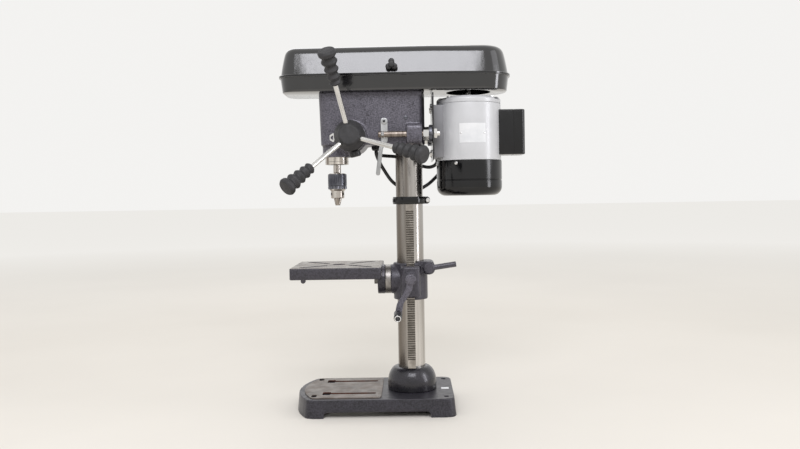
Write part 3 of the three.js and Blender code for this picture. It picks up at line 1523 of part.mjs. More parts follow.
function springCap() {
  const start = -pinionBossReach - seatGap;
  const inner = springCapRadius - springCapWall;
  const hole = springStubRadius + seatGap;
  const floor = springCapEnd + springCapWall;
  const profile = [
    [hole, springCapEnd], [springCapRadius - springCapWall, springCapEnd],
    [springCapRadius, springCapEnd + springCapWall],
    [springCapRadius, start], [inner, start], [inner, floor], [hole, floor], [hole, springCapEnd],
  ];
  return part("spring_cap", turnedAboutX(profile, largeSteps), "darkCast");
}

// A flat strip wound as a spiral about the pinion's axis.
function returnSpring() {
  const stepsPerTurn = 14;
  const count = springTurns * stepsPerTurn;
  const middle = (-pinionBossReach - seatGap + springCapEnd + springCapWall) / 2;
  const springInner = springStubRadius + seatGap;
  const springOuter = springCapRadius - springCapWall - springStripThickness - seatGap;
  const inside = [];
  const outside = [];
  for (let k = 0; k <= count; k += 1) {
    const angle = (fullTurn * k) / stepsPerTurn;
    const radius = springInner + ((springOuter - springInner) * k) / count;
    const point = new THREE.Vector2(Math.cos(angle), Math.sin(angle));
    inside.push(point.clone().multiplyScalar(radius));
    outside.unshift(point.clone().multiplyScalar(radius + springStripThickness));
  }
  const strip = alongX(
    new THREE.Shape([...inside, ...outside]), middle - springStripWidth / 2, middle + springStripWidth / 2,
  );
  return part("return_spring", strip, "darkSteel");
}

// Motor, in a frame on its shaft's axis
function motorShell() {
  const inner = motorRadius - motorWall;
  const shield = motorBottom + motorShieldThickness;
  const hole = motorShaftRadius + runGap;
  const profile = [
    [hole, motorBottom], [motorRadius, motorBottom], [motorRadius, motorTop], [inner, motorTop],
    [inner, shield], [hole, shield], [hole, motorBottom],
  ];
  const front = footFront - motorY;
  const footRear = motorWall / 2 - Math.sqrt(motorRadius ** 2 - footHalfWidth ** 2);
  const foot = alongZ(
    rectangle(-footHalfWidth, footHalfWidth, front, footRear, edgeBreak), footBottom, footTop,
  );
  const inside = pin(inner, shield, motorTop + overrun, largeSteps);
  return part("motor_shell", turned(profile, largeSteps).add(foot.subtract(inside)), "greyPaint");
}

function stator() {
  const outer = motorRadius - motorWall - seatGap;
  return part("stator", ring(statorInner, outer, statorBottom, statorTop, largeSteps), "copper");
}

function endBell() {
  const bottom = motorTop + seatGap;
  const top = motorTop + endBellHeight;
  const hole = motorShaftRadius + runGap;
  const shoulder = endBellHeight / 3;
  const body = turned([
    [motorRadius - endBellWall, bottom], [motorRadius, bottom], [motorRadius, top - shoulder],
    [motorRadius - shoulder, top], [hole, top], [hole, top - 2 * endBellWall],
    [motorRadius - endBellWall - shoulder, top - endBellWall], [motorRadius - endBellWall, bottom],
  ], largeSteps);
  const slots = [];
  const middleRadius = motorRadius * endBellSlotPlaceShare;
  for (let k = 0; k < endBellSlotCount; k += 1) {
    const half = endBellSlotWidth / 2;
    const slot = extruded(
      rectangle(middleRadius - 2 * endBellSlotWidth, middleRadius + 2 * endBellSlotWidth, -half, half),
      endBellHeight + 2 * overrun,
    );
    slots.push(
      asSolid(slot.rotateZ((fullTurn * (k + 1 / 2)) / endBellSlotCount).translate(0, 0, bottom - overrun)),
    );
  }
  return part("motor_end_bell", cut(body, slots), "greyPaint");
}

function fanCowl() {
  const top = motorBottom - seatGap;
  const profile = [[0, cowlBottom]];
  const inside = [[0, cowlBottom + cowlWall]];
  const arcSteps = 4;
  for (let k = 0; k <= arcSteps; k += 1) {
    const angle = -quarterTurn + (quarterTurn * k) / arcSteps;
    const centre = cowlRadius - cowlRounding;
    const height = cowlBottom + cowlRounding;
    profile.push([centre + cowlRounding * Math.cos(angle), height + cowlRounding * Math.sin(angle)]);
    const innerRadius = cowlRounding - cowlWall;
    inside.push([centre + innerRadius * Math.cos(angle), height + innerRadius * Math.sin(angle)]);
  }
  profile.push([cowlRadius, top], [cowlRadius - cowlWall, top]);
  const slots = [];
  const slotStart = cowlRadius / 4;
  const slotEnd = cowlRadius - cowlRounding;
  for (let k = 0; k < cowlSlotCount; k += 1) {
    const half = cowlSlotWidth / 2;
    const slot = extruded(rectangle(slotStart, slotEnd, -half, half), 2 * cowlWall + overrun);
    slots.push(asSolid(slot.rotateZ((fullTurn * k) / cowlSlotCount).translate(0, 0, cowlBottom - overrun)));
  }
  const body = turned([...profile, ...inside.reverse()], largeSteps);
  return part("fan_cowl", cut(body, slots), "blackGloss");
}

function motorRotor() {
  const core = statorInner - rotorGap;
  const profile = [
    [0, motorShaftBottom], [motorShaftRadius, motorShaftBottom], [motorShaftRadius, statorBottom],
    [core, statorBottom],
    [core, statorTop], [motorShaftRadius, statorTop], [motorShaftRadius, motorShaftTop], [0, motorShaftTop],
  ];
  return part("motor_rotor", turned(profile, mediumSteps), "steel");
}

function coolingFan() {
  const bore = motorShaftRadius + seatGap;
  const top = fanBottom + fanHeight;
  const hub = ring(bore, fanHubRadius, fanBottom, top, smallSteps);
  const disc = ring(bore, fanRadius - 2 * fanBladeThickness, top - fanBladeThickness, top, mediumSteps);
  const blades = [];
  for (let k = 0; k < fanBladeCount; k += 1) {
    const blade = extruded(
      rectangle(fanHubRadius - overrun, fanRadius, -fanBladeThickness / 2, fanBladeThickness / 2),
      fanHeight,
    );
    blades.push(asSolid(blade.rotateZ((fullTurn * k) / fanBladeCount).translate(0, 0, fanBottom)));
  }
  return part("cooling_fan", join([hub, disc, ...blades]), "blackPlastic");
}

function capacitorBox() {
  const front = Math.sqrt(motorRadius ** 2 - capacitorHalfWidth ** 2);
  const rear = capacitorRear - motorY;
  const box = alongZ(
    outline([
      [-capacitorHalfWidth, front, 0], [capacitorHalfWidth, front, 0],
      [capacitorHalfWidth, rear, capacitorCorner], [-capacitorHalfWidth, rear, capacitorCorner],
    ]),
    capacitorBottom, capacitorTop,
  );
  const saddle = pin(motorRadius + seatGap, capacitorBottom - overrun, capacitorTop + overrun, largeSteps);
  return part("capacitor_box", box.subtract(saddle), "blackGloss");
}

function motorPlate() {
  const front = motorPlateFront;
  const rear = front + motorPlateThickness;
  const shape = rectangle(
    -motorPlateHalfWidth, motorPlateHalfWidth, motorPlateBottom, motorPlateTop, slideBossCorner,
  );
  const holes = [-1, 1].map((sign) => alongY(
    circle(sign * slideRodX, slideRodZ, slideRodRadius + seatGap, smallSteps), front - overrun,
    rear + overrun,
  ));
  return part("motor_plate", cut(alongY(shape, front, rear), holes), "darkCast");
}

function slideRod(name, side) {
  const x = side * slideRodX;
  const rod = alongY(circle(x, slideRodZ, slideRodRadius, smallSteps), slideRodFront, slideRodRear);
  const washerRear = motorPlateFront - seatGap;
  const nut = alongY(circle(x, slideRodZ, slideNutRadius, hexSides), slideNutFront, slideNutEnd);
  const washer = alongY(circle(x, slideRodZ, slideWasherRadius, smallSteps), slideNutEnd, washerRear);
  const rearStart = motorPlateFront + motorPlateThickness + seatGap;
  const rearNut = alongY(
    circle(x, slideRodZ, slideNutRadius * rearNutShare, hexSides), rearStart, rearStart + slideRodRadius,
  );
  const pinY = leverLineY(slideRodZ);
  const slot = alongX(
    rectangle(
      pinY - leverPinRadius - leverPinSlack, pinY + leverPinRadius + leverPinSlack,
      slideRodZ - slideRodRadius * rodSlotBelowShare, slideRodZ + slideRodRadius * rodSlotAboveShare,
    ),
    x - slideRodRadius - overrun, x + slideRodRadius + overrun,
  );
  return part(name, cut(join([rod, nut, washer, rearNut]), [slot]), "steel");
}

// Where the tension lever's middle line is at a height.
function leverLineY(z) {
  return leverPivotY + ((leverLowY - leverPivotY) * (leverPivotZ - z)) / (leverPivotZ - leverLowZ);
}

function tensionLever() {
  const outer = leverInner + leverThickness;
  const top = leverPivotZ + leverTopRise;
  const waist = (leverPivotZ + leverLowZ) / 2;
  const waistY = leverLineY(waist);
  const strip = alongX(
    outline([
      [leverPivotY - leverHalfWidth, top, leverHalfWidth * leverTopRoundShare],
      [leverPivotY - leverHalfWidth, waist + 2 * leverHalfWidth, 0], [waistY - leverLowHalfWidth, waist, 0],
      [leverLowY - leverLowHalfWidth, leverLowZ, leverLowHalfWidth * nearlyRoundShare],
      [leverLowY + leverLowHalfWidth, leverLowZ, leverLowHalfWidth * nearlyRoundShare],
      [waistY + leverLowHalfWidth, waist, 0],
      [leverPivotY + leverHalfWidth, waist + 2 * leverHalfWidth, 0],
      [leverPivotY + leverHalfWidth, top, leverHalfWidth * leverTopRoundShare],
    ]),
    leverInner, outer,
  );
  const head = alongX(
    circle(leverPivotY, leverPivotZ, leverScrewHeadRadius, hexSides), outer - overrun,
    outer + leverScrewHeadLength,
  );
  const screw = alongX(
    circle(leverPivotY, leverPivotZ, leverScrewRadius, tinySteps), headHalfWidth - headWall,
    leverInner + overrun,
  );
  const washer = alongX(
    circle(leverPivotY, leverPivotZ, leverScrewHeadRadius, tinySteps), headHalfWidth + runGap,
    leverInner + runGap,
  );
  const pivotPin = alongX(
    circle(leverLineY(slideRodZ), slideRodZ, leverPinRadius, tinySteps), outer - overrun, slideRodX,
  );
  return part("tension_lever", join([strip, head, screw, washer, pivotPin]), "zinc");
}

// Belt housing: its outline drawn in by an inset, as rings for a loft
function coverHalfWidth(y, inset) {
  const share = (y - coverFront) / (coverMiddleY - coverFront);
  return coverFrontHalfWidth + (coverMiddleHalfWidth - coverFrontHalfWidth) * share - inset;
}

function coverRing(inset, z) {
  const frontCorner = Math.max(coverFrontCorner - inset, coverFrontCorner / 4);
  const rearCorner = Math.max(coverRearCorner - inset, coverRearCorner / 4);
  const corners = [
    [coverFrontHalfWidth - inset, coverFront + inset, frontCorner],
    [coverMiddleHalfWidth - inset, coverMiddleY, coverMiddleCorner],
    [coverRearHalfWidth - inset, coverRear - inset, rearCorner],
  ];
  const mirrored = corners.map(([x, y, radius]) => [-x, y, radius]).reverse();
  const points = outlinePoints([...corners, ...mirrored], coverCornerSteps);
  return points.map((point) => new THREE.Vector3(point.x, point.y, z));
}

const panBottom = headTop + seatGap;
const lipTop = lipBottom + lipHeight;
const lidLipBottom = lipTop + seatGap;
const hingeX = -coverMiddleHalfWidth - hingeClearance;
const hingeZ = (lipTop + lidLipBottom) / 2;

function knuckle(from, to, leafLow, leafHigh) {
  const barrel = alongY(circle(hingeX, hingeZ, hingeRadius, tinySteps), from, to);
  const leafStart = -coverMiddleHalfWidth + hingeLeafOverlap;
  const leaf = alongY(rectangle(hingeX, leafStart, leafLow, leafHigh), from, to);
  return barrel.add(leaf);
}

function hingeBore() {
  return alongY(
    circle(hingeX, hingeZ, hingeBoreRadius, tinySteps), hingeFront - hingeKnuckle, hingeRear + hingeKnuckle,
  );
}

function beltHousing() {
  const outer = loft([
    coverRing(panBottomInset + overrun, panBottom), coverRing(panBottomInset, panBottom + overrun),
    coverRing(panTopInset, lipBottom), coverRing(0, lipBottom), coverRing(0, lipTop),
  ]);
  const inner = loft([
    coverRing(panBottomInset + panWall, panBottom + panFloor),
    coverRing(panTopInset + panWall, lipTop + overrun),
  ]);
  const below = panBottom - overrun;
  const above = panBottom + panFloor + overrun;
  const spindleHole = pinAt(0, spindleY, panSpindleHole, below, above, mediumSteps);
  const motorHole = pinAt(0, motorY, panMotorHole, below, above, largeSteps);
  const knuckles = [hingeFront - hingeKnuckle, hingeRear].map((from) => (
    knuckle(from, from + hingeKnuckle - seatGap, lipBottom, lipTop)
  ));
  const solid = cut(join([outer, ...knuckles]), [inner, spindleHole, motorHole, hingeBore()]);
  return part("belt_housing", solid, "blackGloss");
}

// Heights above the lid's lip and how far it is drawn in there, as shares of its height and widest inset
const lidWidestInset = 30;
const lidLipShare = lipHeight / (lidTop - lidLipBottom);
const lidShares = [
  [lidLipShare, 0.11], [0.38, 0.205], [0.72, 0.33], [0.86, 0.43], [0.94, 0.57], [0.985, 0.77], [1, 1],
];

function lidInset(z) {
  const at = (z - lidLipBottom) / (lidTop - lidLipBottom);
  const above = lidShares.findIndex(([heightShare]) => heightShare > at);
  const [lowShare, lowInset] = lidShares[above - 1];
  const [highShare, highInset] = lidShares[above];
  const between = (at - lowShare) / (highShare - lowShare);
  return lidWidestInset * (lowInset + (highInset - lowInset) * between);
}

function beltLid() {
  const height = lidTop - lidLipBottom;
  const levels = lidShares.map(([heightShare, insetShare]) => [
    lidLipBottom + height * heightShare, lidWidestInset * insetShare,
  ]);
  const outer = loft([
    coverRing(0, lidLipBottom), coverRing(0, lidLipBottom + lipHeight),
    ...levels.map(([z, inset]) => coverRing(inset, z)),
  ]);
  const inside = levels.filter((_, i) => i % 2 === 1).map(
    ([z, inset]) => coverRing(inset + lidWall, z - lidWall),
  );
  const inner = loft([coverRing(levels[0][1] + lidWall, lidLipBottom - overrun), ...inside]);
  const knobHole = alongX(
    circle(lidKnobY, lidKnobZ, lidKnobShaftRadius + runGap, tinySteps), 0, coverMiddleHalfWidth,
  );
  const lidKnuckle = knuckle(hingeFront, hingeRear - seatGap, lidLipBottom, lidLipBottom + lipHeight);
  return part("belt_cover_lid", cut(outer.add(lidKnuckle), [inner, knobHole, hingeBore()]), "blackGloss");
}

function hingePin() {
  const from = hingeFront - hingeKnuckle - overrun;
  const to = hingeRear + hingeKnuckle + overrun;
  return part(
    "lid_hinge_pin", alongY(circle(hingeX, hingeZ, hingePinRadius, tinySteps), from, to), "steel",
  );
}

// Three lobes round a boss, with a shaft through the lid's near wall and a washer inside.
const lobeCount = 3;
const lobePlaceShare = 0.62;
const lobeRadiusShare = 0.55;

function lidKnob() {
  const lowest = lidKnobZ - lidKnobRadius * (lobePlaceShare + lobeRadiusShare);
  const start = coverHalfWidth(lidKnobY + lidKnobRadius, lidInset(lowest)) + seatGap;
  const place = lidKnobRadius * lobePlaceShare;
  const lobeRadius = lidKnobRadius * lobeRadiusShare;
  const lobes = [];
  for (let k = 0; k < lobeCount; k += 1) {
    const angle = quarterTurn + (fullTurn * k) / lobeCount;
    const lobe = circle(
      lidKnobY + place * Math.cos(angle), lidKnobZ + place * Math.sin(angle), lobeRadius, tinySteps,
    );
    lobes.push(alongX(lobe, start, start + lidKnobLength * lobePlaceShare));
  }
  const boss = alongX(circle(lidKnobY, lidKnobZ, lobeRadius, tinySteps), start, start + lidKnobLength);
  const washerRadius = 2 * lidKnobShaftRadius;
  const wall = coverHalfWidth(lidKnobY - washerRadius, lidInset(lidKnobZ + washerRadius));
  const washerEnd = wall - lidKnobWasherDepth;
  const shaft = alongX(
    circle(lidKnobY, lidKnobZ, lidKnobShaftRadius, tinySteps), washerEnd - overrun, start + overrun,
  );
  const washer = alongX(
    circle(lidKnobY, lidKnobZ, washerRadius, tinySteps), washerEnd - lidKnobWasherThickness, washerEnd,
  );
  return part("lid_knob", join([boss, shaft, washer, ...lobes]), "blackPlastic");
}

// Pulleys: one profile of V-shaped steps, widest first or last
function pulleyProfile(firstRadius, change) {
  const profile = [];
  for (let step = 0; step < pulleySteps; step += 1) {
    const radius = firstRadius + change * step;
    const bottom = pulleyBottom + step * pulleyStepHeight;
    const middle = bottom + pulleyStepHeight / 2;
    profile.push(
      [radius, bottom], [radius, bottom + grooveRim], [radius - grooveDepth, middle - grooveFloor / 2],
    );
    profile.push([radius - grooveDepth, middle + grooveFloor / 2], [radius, bottom + pulleyStepHeight]);
  }
  return profile;
}

function spindlePulley() {
  const top = pulleyTop;
  const blank = turned([
    [0, sleeveBottom + seatGap], [sleeveRadius, sleeveBottom + seatGap], [sleeveRadius, pulleyBottom],
    ...pulleyProfile(spindlePulleyRadius, -pulleyStepDepth), [0, top],
  ], mediumSteps);
  const splines = splineSolid(
    spindleSplineReach + runGap, spindleSplineHalfWidth + runGap, spindleSplineRadius + runGap,
    sleeveBottom, top + overrun,
  );
  return part("spindle_pulley", blank.subtract(splines), "aluminium");
}

function motorPulley() {
  const top = pulleyTop;
  const blank = turned(
    [[0, pulleyBottom], ...pulleyProfile(motorPulleyRadius, pulleyStepDepth), [0, top]], mediumSteps,
  );
  const bore = pin(motorShaftRadius + runGap, pulleyBottom - overrun, top + overrun, smallSteps);
  return part("motor_pulley", blank.subtract(bore), "aluminium");
}

// The belt runs round both pulleys at one step: a closed ring of four-sided sections.
function driveBelt() {
  const front = spindlePulleyRadius - pulleyStepDepth * pulleyBeltStep;
  const rear = motorPulleyRadius + pulleyStepDepth * pulleyBeltStep;
  const z = pulleyBottom + pulleyStepHeight * (pulleyBeltStep + 1 / 2);
  const rimHalf = pulleyStepHeight / 2 - grooveRim;
  const halfAt = (inset) => rimHalf - ((rimHalf - grooveFloor / 2) * inset) / grooveDepth - seatGap;
  const section = [
    [-beltInnerInset, -halfAt(beltInnerInset)], [-beltOuterInset, -halfAt(beltOuterInset)],
    [-beltOuterInset, halfAt(beltOuterInset)], [-beltInnerInset, halfAt(beltInnerInset)],
  ];
  const lean = Math.asin((front - rear) / (motorY - spindleY));
  const arcSteps = 14;
  const wraps = [[motorY, rear, lean, Math.PI - lean], [spindleY, front, Math.PI - lean, fullTurn + lean]];
  const positions = [];
  for (const [centreY, radius, from, to] of wraps) {
    for (let k = 0; k <= arcSteps; k += 1) {
      const angle = from + ((to - from) * k) / arcSteps;
      for (const [offset, height] of section) {
        const reach = radius + offset;
        positions.push(reach * Math.cos(angle), centreY + reach * Math.sin(angle), z + height);
      }
    }
  }
  const sides = section.length;
  const stations = positions.length / 3 / sides;
  const triangles = [];
  for (let k = 0; k < stations; k += 1) {
    const next = ((k + 1) % stations) * sides;
    for (let i = 0; i < sides; i += 1) {
      const j = (i + 1) % sides;
      triangles.push(k * sides + i, next + i, next + j, k * sides + i, next + j, k * sides + j);
    }
  }
  const geometry = new THREE.BufferGeometry();
  geometry.setAttribute("position", new THREE.Float32BufferAttribute(positions, 3));
  geometry.setIndex(triangles);
  return part("drive_belt", asSolid(geometry), "rubber");
}

// Switch box on the far side of the head, open towards it, with two buttons pushed towards the head
const switchBoxInner = -headHalfWidth - seatGap;

function switchBox() {
  const blank = alongX(
    rectangle(switchBoxFront, switchBoxRear, switchBoxBottom, switchBoxTop, switchBoxCorner),
    switchBoxReach, switchBoxInner,
  );
  const wall = switchBoxWall;
  const hollow = alongX(
    rectangle(
      switchBoxFront + wall, switchBoxRear - wall, switchBoxBottom + wall, switchBoxTop - wall,
      switchBoxCorner - wall,
    ),
    switchBoxReach + wall, switchBoxInner + overrun,
  );
  const inletEnd = switchBoxRear + inletLength;
  const inlet = alongY(circle(inletX, inletZ, inletRadius, smallSteps), switchBoxRear - wall, inletEnd);
  const inletHole = alongY(
    circle(inletX, inletZ, inletBore, smallSteps), switchBoxRear - 2 * wall, inletEnd + overrun,
  );
  const holes = [[startButtonZ, startButtonRadius], [stopButtonZ, stopButtonRadius]].map(([z, radius]) => (
    alongX(
      circle(buttonY, z, radius + seatGap, mediumSteps), switchBoxReach - overrun,
      switchBoxReach + wall + overrun,
    )
  ));
  return part("switch_box", cut(blank.subtract(hollow).add(inlet), [inletHole, ...holes]), "blackPlastic");
}

function button(name, z, radius, surface) {
  const inside = switchBoxReach + switchBoxWall + seatGap;
  const outer = switchBoxReach - buttonProud;
  const cap = alongX(circle(buttonY, z, radius, mediumSteps), outer, inside + overrun);
  const flange = alongX(
    circle(buttonY, z, radius + buttonFlange, mediumSteps), inside, inside + buttonFlange,
  );
  return part(name, cap.add(flange), surface);
}

function leadGland() {
  const top = headBottom - seatGap;
  const body = pinAt(glandX, glandY, glandRadius, top - glandHeight, top, hexSides);
  const stub = pinAt(glandX, glandY, glandStubRadius, top - overrun, headPocketFloor + overrun, tinySteps);
  return part("lead_gland", body.add(stub), "blackPlastic");
}

function motorLead(name, route) {
  return part(name, tube(route, leadRadius, leadSides, leadStepLength), "rubber");
}

// The machine, in nested groups: what turns on one axis shares that axis as its origin
const spindleGroup = grouped([
  quill(), bearing("lower_bearing", quillBottom), bearing("upper_bearing", quillTop - bearingHeight),
  spindle(), chuckBody(), chuckSleeve(), ...jaws(), spindlePulley(),
], [0, spindleY, 0]);

const feedGroup = grouped([
  pinionShaft(), feedHub(), ...feedHandles(), depthRing(), depthLockKnob(), springCap(), returnSpring(),
], [0, pinionY, pinionZ]);

const motorGroup = grouped([
  motorShell(), stator(), endBell(), fanCowl(), motorRotor(), coolingFan(), capacitorBox(), motorPulley(),
], [0, motorY, 0]);

const tableGroup = grouped([
  tableBracket(), wormWheel(), crank(), crankGrip(), lockLever(), tiltRing(), tiltBolt(), workTable(),
], [0, 0, tiltAxisZ]);

const machine = grouped([
  baseCasting(), columnFlange(), columnTube(), rackCollar(), rack(), tableGroup, headCasting(),
  depthPointer(),
  spindleGroup, feedGroup, motorPlate(), slideRod("slide_rod_near", 1), slideRod("slide_rod_far", -1),
  motorGroup,
  tensionLever(), beltHousing(), beltLid(), hingePin(), lidKnob(), driveBelt(), switchBox(),
  button("start_button", startButtonZ, startButtonRadius, "green"),
  button("stop_button", stopButtonZ, stopButtonRadius, "red"), leadGland(),
  motorLead("motor_lead_upper", upperLeadRoute), motorLead("motor_lead_lower", lowerLeadRoute),
]);

// The origin is the middle of the footprint of the whole machine, on the bench.
const press = new THREE.Group();
press.add(machine);
press.updateMatrixWorld(true);
const box = new THREE.Box3().setFromObject(machine, true);
machine.position.set(-(box.min.x + box.max.x) / 2, -(box.min.y + box.max.y) / 2, -box.min.z);
press.updateMatrixWorld(true);

export default press;
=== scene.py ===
import json
import math

import bmesh
import bpy
from mathutils import Matrix, Vector


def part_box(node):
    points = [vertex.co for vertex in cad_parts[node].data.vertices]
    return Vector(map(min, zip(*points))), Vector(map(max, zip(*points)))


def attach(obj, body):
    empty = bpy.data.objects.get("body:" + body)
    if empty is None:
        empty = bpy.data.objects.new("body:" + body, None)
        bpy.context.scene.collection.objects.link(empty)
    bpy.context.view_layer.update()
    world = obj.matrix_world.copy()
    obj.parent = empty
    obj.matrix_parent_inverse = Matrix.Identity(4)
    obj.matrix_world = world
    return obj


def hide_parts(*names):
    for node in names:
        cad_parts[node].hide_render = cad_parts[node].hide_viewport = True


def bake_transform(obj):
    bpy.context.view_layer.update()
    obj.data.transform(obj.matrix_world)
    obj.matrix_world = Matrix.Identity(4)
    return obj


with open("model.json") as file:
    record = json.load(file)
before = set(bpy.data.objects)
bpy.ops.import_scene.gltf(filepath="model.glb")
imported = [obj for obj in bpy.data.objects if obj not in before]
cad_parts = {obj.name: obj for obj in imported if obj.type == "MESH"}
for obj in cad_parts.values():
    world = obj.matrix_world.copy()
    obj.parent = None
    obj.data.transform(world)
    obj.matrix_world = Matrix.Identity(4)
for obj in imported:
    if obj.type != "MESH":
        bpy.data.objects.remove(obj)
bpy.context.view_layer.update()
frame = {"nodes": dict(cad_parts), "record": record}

# Shapes are written in millimetres from the column's axis, with the spindle in front (-Y), the motor
# behind (+Y) and the feed handles on the +X side. PLACE takes them to the frame, in metres.
scene = bpy.context.scene
record = frame["record"]
BODY = {node: body for body, nodes in record["behaviour"]["bodies"].items() for node in nodes}
SLOT = {part["node"]: part["material_slot"] for part in record["subparts"]}
column_low, column_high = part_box("column_tube")
AXIS = (column_low + column_high) / 2
MM = 0.001
PLACE = Matrix.Translation((AXIS.x, AXIS.y, 0)) @ Matrix.Scale(MM, 4)
BACK = PLACE.inverted()
TURN = 2 * math.pi
QUARTER = math.pi / 2

# Axes of the moving parts: x and y of those that stand, y and z of the feed, x and z of the tilt
SPINDLE_Y, MOTOR_Y, TILT_Z = -123, 103, 219
SPINDLE, MOTOR = (0, SPINDLE_Y), (0, MOTOR_Y)
FEED = (-95, 459.5)
TILT = (0, TILT_Z)

# Camera: on the feed side, a little above the table, as the photograph was taken
CAMERA_PLACE = (1.380, 0.0, 0.359)
LENS, SENSOR = 36.2, 36
PITCH, YAW, ROLL = math.radians(1.95), math.radians(0.7), math.radians(0.92)


def make_camera():
    data = bpy.data.cameras.new("camera")
    data.lens, data.sensor_width = LENS, SENSOR
    camera = bpy.data.objects.new("camera", data)
    scene.collection.objects.link(camera)
    ahead = Vector((-math.cos(YAW) * math.cos(PITCH), -math.sin(YAW) * math.cos(PITCH), -math.sin(PITCH)))
    right = ahead.cross(Vector((0, 0, 1))).normalized()
    up = right.cross(ahead)
    rolled_right = math.cos(ROLL) * right - math.sin(ROLL) * up
    rolled_up = math.sin(ROLL) * right + math.cos(ROLL) * up
    axes = Matrix((rolled_right, rolled_up, -ahead)).transposed()
    place = Vector(CAMERA_PLACE) + Vector((AXIS.x, AXIS.y, 0))
    camera.matrix_world = Matrix.Translation(place) @ axes.to_4x4()
    scene.camera = camera


make_camera()


# Places and outlines
def span(node, axis=None):
    """A node's two corners in millimetres from the column's axis, or its two ends along one axis."""
    low, high = (BACK @ Vector(corner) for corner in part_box(node))
    if axis is None:
        return low, high
    along = "XYZ".index(axis)
    return low[along], high[along]


def pose(place, angle, axis="Z"):
    return Matrix.Translation(Vector(place).to_3d()) @ Matrix.Rotation(angle, 4, axis)


def polar(radius, angle, centre=(0, 0)):
    return (centre[0] + radius * math.cos(angle), centre[1] + radius * math.sin(angle))


def placed(u, v, w, axis):
    """A point from two coordinates across an axis and one along it."""
    return {"X": (w, u, v), "Y": (u, w, v), "Z": (u, v, w)}[axis]


def level(outline, z):
    return [(x, y, z) for x, y in outline]


def fillets(corners, steps=8, closed=True):
    """Corners [across, up, radius]: those with a radius become arcs."""
    points = []
    last = len(corners) - 1
    for i, corner in enumerate(corners):
        here = Vector(corner[:2])
        radius = corner[2] if len(corner) > 2 else 0
        if not radius or (not closed and i in (0, last)):
            points.append(tuple(here))
            continue
        before = (Vector(corners[i - 1][:2]) - here).normalized()
        after = (Vector(corners[(i + 1) % len(corners)][:2]) - here).normalized()
        half = math.acos(max(-1, min(1, before.dot(after)))) / 2
        start = here + before * radius / math.tan(half)
        end = here + after * radius / math.tan(half)
        centre = here + (before + after).normalized() * radius / math.sin(half)
        first = math.atan2(start.y - centre.y, start.x - centre.x)
        sweep = math.atan2(end.y - centre.y, end.x - centre.x) - first
        sweep = (sweep + math.pi) % TURN - math.pi
        points += [polar(radius, first + sweep * k / steps, centre) for k in range(steps + 1)]
    return points


def rectangle(left, right, low, high, radius=0, steps=8):
    corners = [(left, low, radius), (right, low, radius), (right, high, radius), (left, high, radius)]
    return fillets(corners, steps)


# Solids
def solid(points, faces, name="solid"):
    mesh = bpy.data.meshes.new(name)
    mesh.from_pydata([tuple(p) for p in points], [], faces)
    bm = bmesh.new()
    bm.from_mesh(mesh)
    bmesh.ops.recalc_face_normals(bm, faces=bm.faces)
    bm.to_mesh(mesh)
    bm.free()
    obj = bpy.data.objects.new(name, mesh)
    scene.collection.objects.link(obj)
    return obj


def stack(rings):
    """A solid from closed rings of equally many points, with flat ends."""
    count = len(rings[0])
    top = count * (len(rings) - 1)
    faces = [list(range(count))]
    for first in range(0, top, count):
        for i in range(count):
            a, b = first + i, first + (i + 1) % count
            faces.append([a, b, b + count, a + count])
    faces.append([top + i for i in range(count)])
    return solid([p for ring in rings for p in ring], faces)


def prism(outline, low, high, axis="Z"):
    return stack([[placed(u, v, w, axis) for u, v in outline] for w in (low, high)])


def lathe(profile, steps=64, axis="Z", centre=(0, 0), arc=5):
    """Turns [radius, height, fillet] about an axis through centre. A profile that starts off the axis
    closes on itself."""
    tiny = 1e-6
    on_axis = profile[0][0] < tiny
    points, rows = [], []
    for radius, height in fillets(profile, arc, closed=not on_axis):
        count = 1 if radius < tiny else steps
        rows.append([len(points) + k % count for k in range(steps)])
        points += [placed(*polar(radius, TURN * k / steps, centre), height, axis) for k in range(count)]
    faces = []
    for low, high in list(zip(rows, rows[1:])) + ([] if on_axis else [(rows[-1], rows[0])]):
        for k in range(steps):
            n = (k + 1) % steps
            face = [low[k], low[n], high[n], high[k]]
            face = [v for i, v in enumerate(face) if v not in face[:i]]
            if len(face) > 2:
                faces.append(face)
    return solid(points, faces)


def pin(radius, low, high, axis="Z", centre=(0, 0), steps=48, edge=0):
    profile = [(0, low), (radius, low, edge), (radius, high, edge), (0, high)]
    return lathe(profile, steps, axis, centre, 3)


def tube_ring(inner, outer, low, high, axis="Z", centre=(0, 0), steps=64, edge=0):
    profile = [(inner, low, edge), (outer, low, edge), (outer, high, edge), (inner, high, edge)]
    return lathe(profile, steps, axis, centre, 3)


def hexagon(radius, low, high, axis="Z", centre=(0, 0), turn=0.0):
    """A hexagonal head with its corners cut back, as turned nuts and bolts have."""
    flat = [polar(radius, TURN * (k + turn) / 6, centre) for k in range(6)]
    trim, over = radius * 0.1, 0.05
    dome = lathe([(0, low), (radius - trim, low), (radius + over, low + trim * 0.6),
                  (radius + over, high - trim * 0.6), (radius - trim, high), (0, high)], 48, axis, centre)
    return together(prism(flat, low, high, axis), [dome], "INTERSECT")


# Changes to solids
def apply_all(obj):
    graph = bpy.context.evaluated_depsgraph_get()
    mesh = bpy.data.meshes.new_from_object(obj.evaluated_get(graph))
    old = obj.data
    obj.modifiers.clear()
    obj.data = mesh
    bpy.data.meshes.remove(old)
    return obj


def removed(obj):
    mesh = obj.data
    bpy.data.objects.remove(obj)
    bpy.data.meshes.remove(mesh)


def together(obj, others, operation="UNION"):
    for other in others:
        tool = obj.modifiers.new("tool", "BOOLEAN")
        tool.operation, tool.object, tool.solver = operation, other, "MANIFOLD"
    apply_all(obj)
    for other in others:
        removed(other)
    return obj


def cut(obj, others):
    return together(obj, others, "DIFFERENCE")


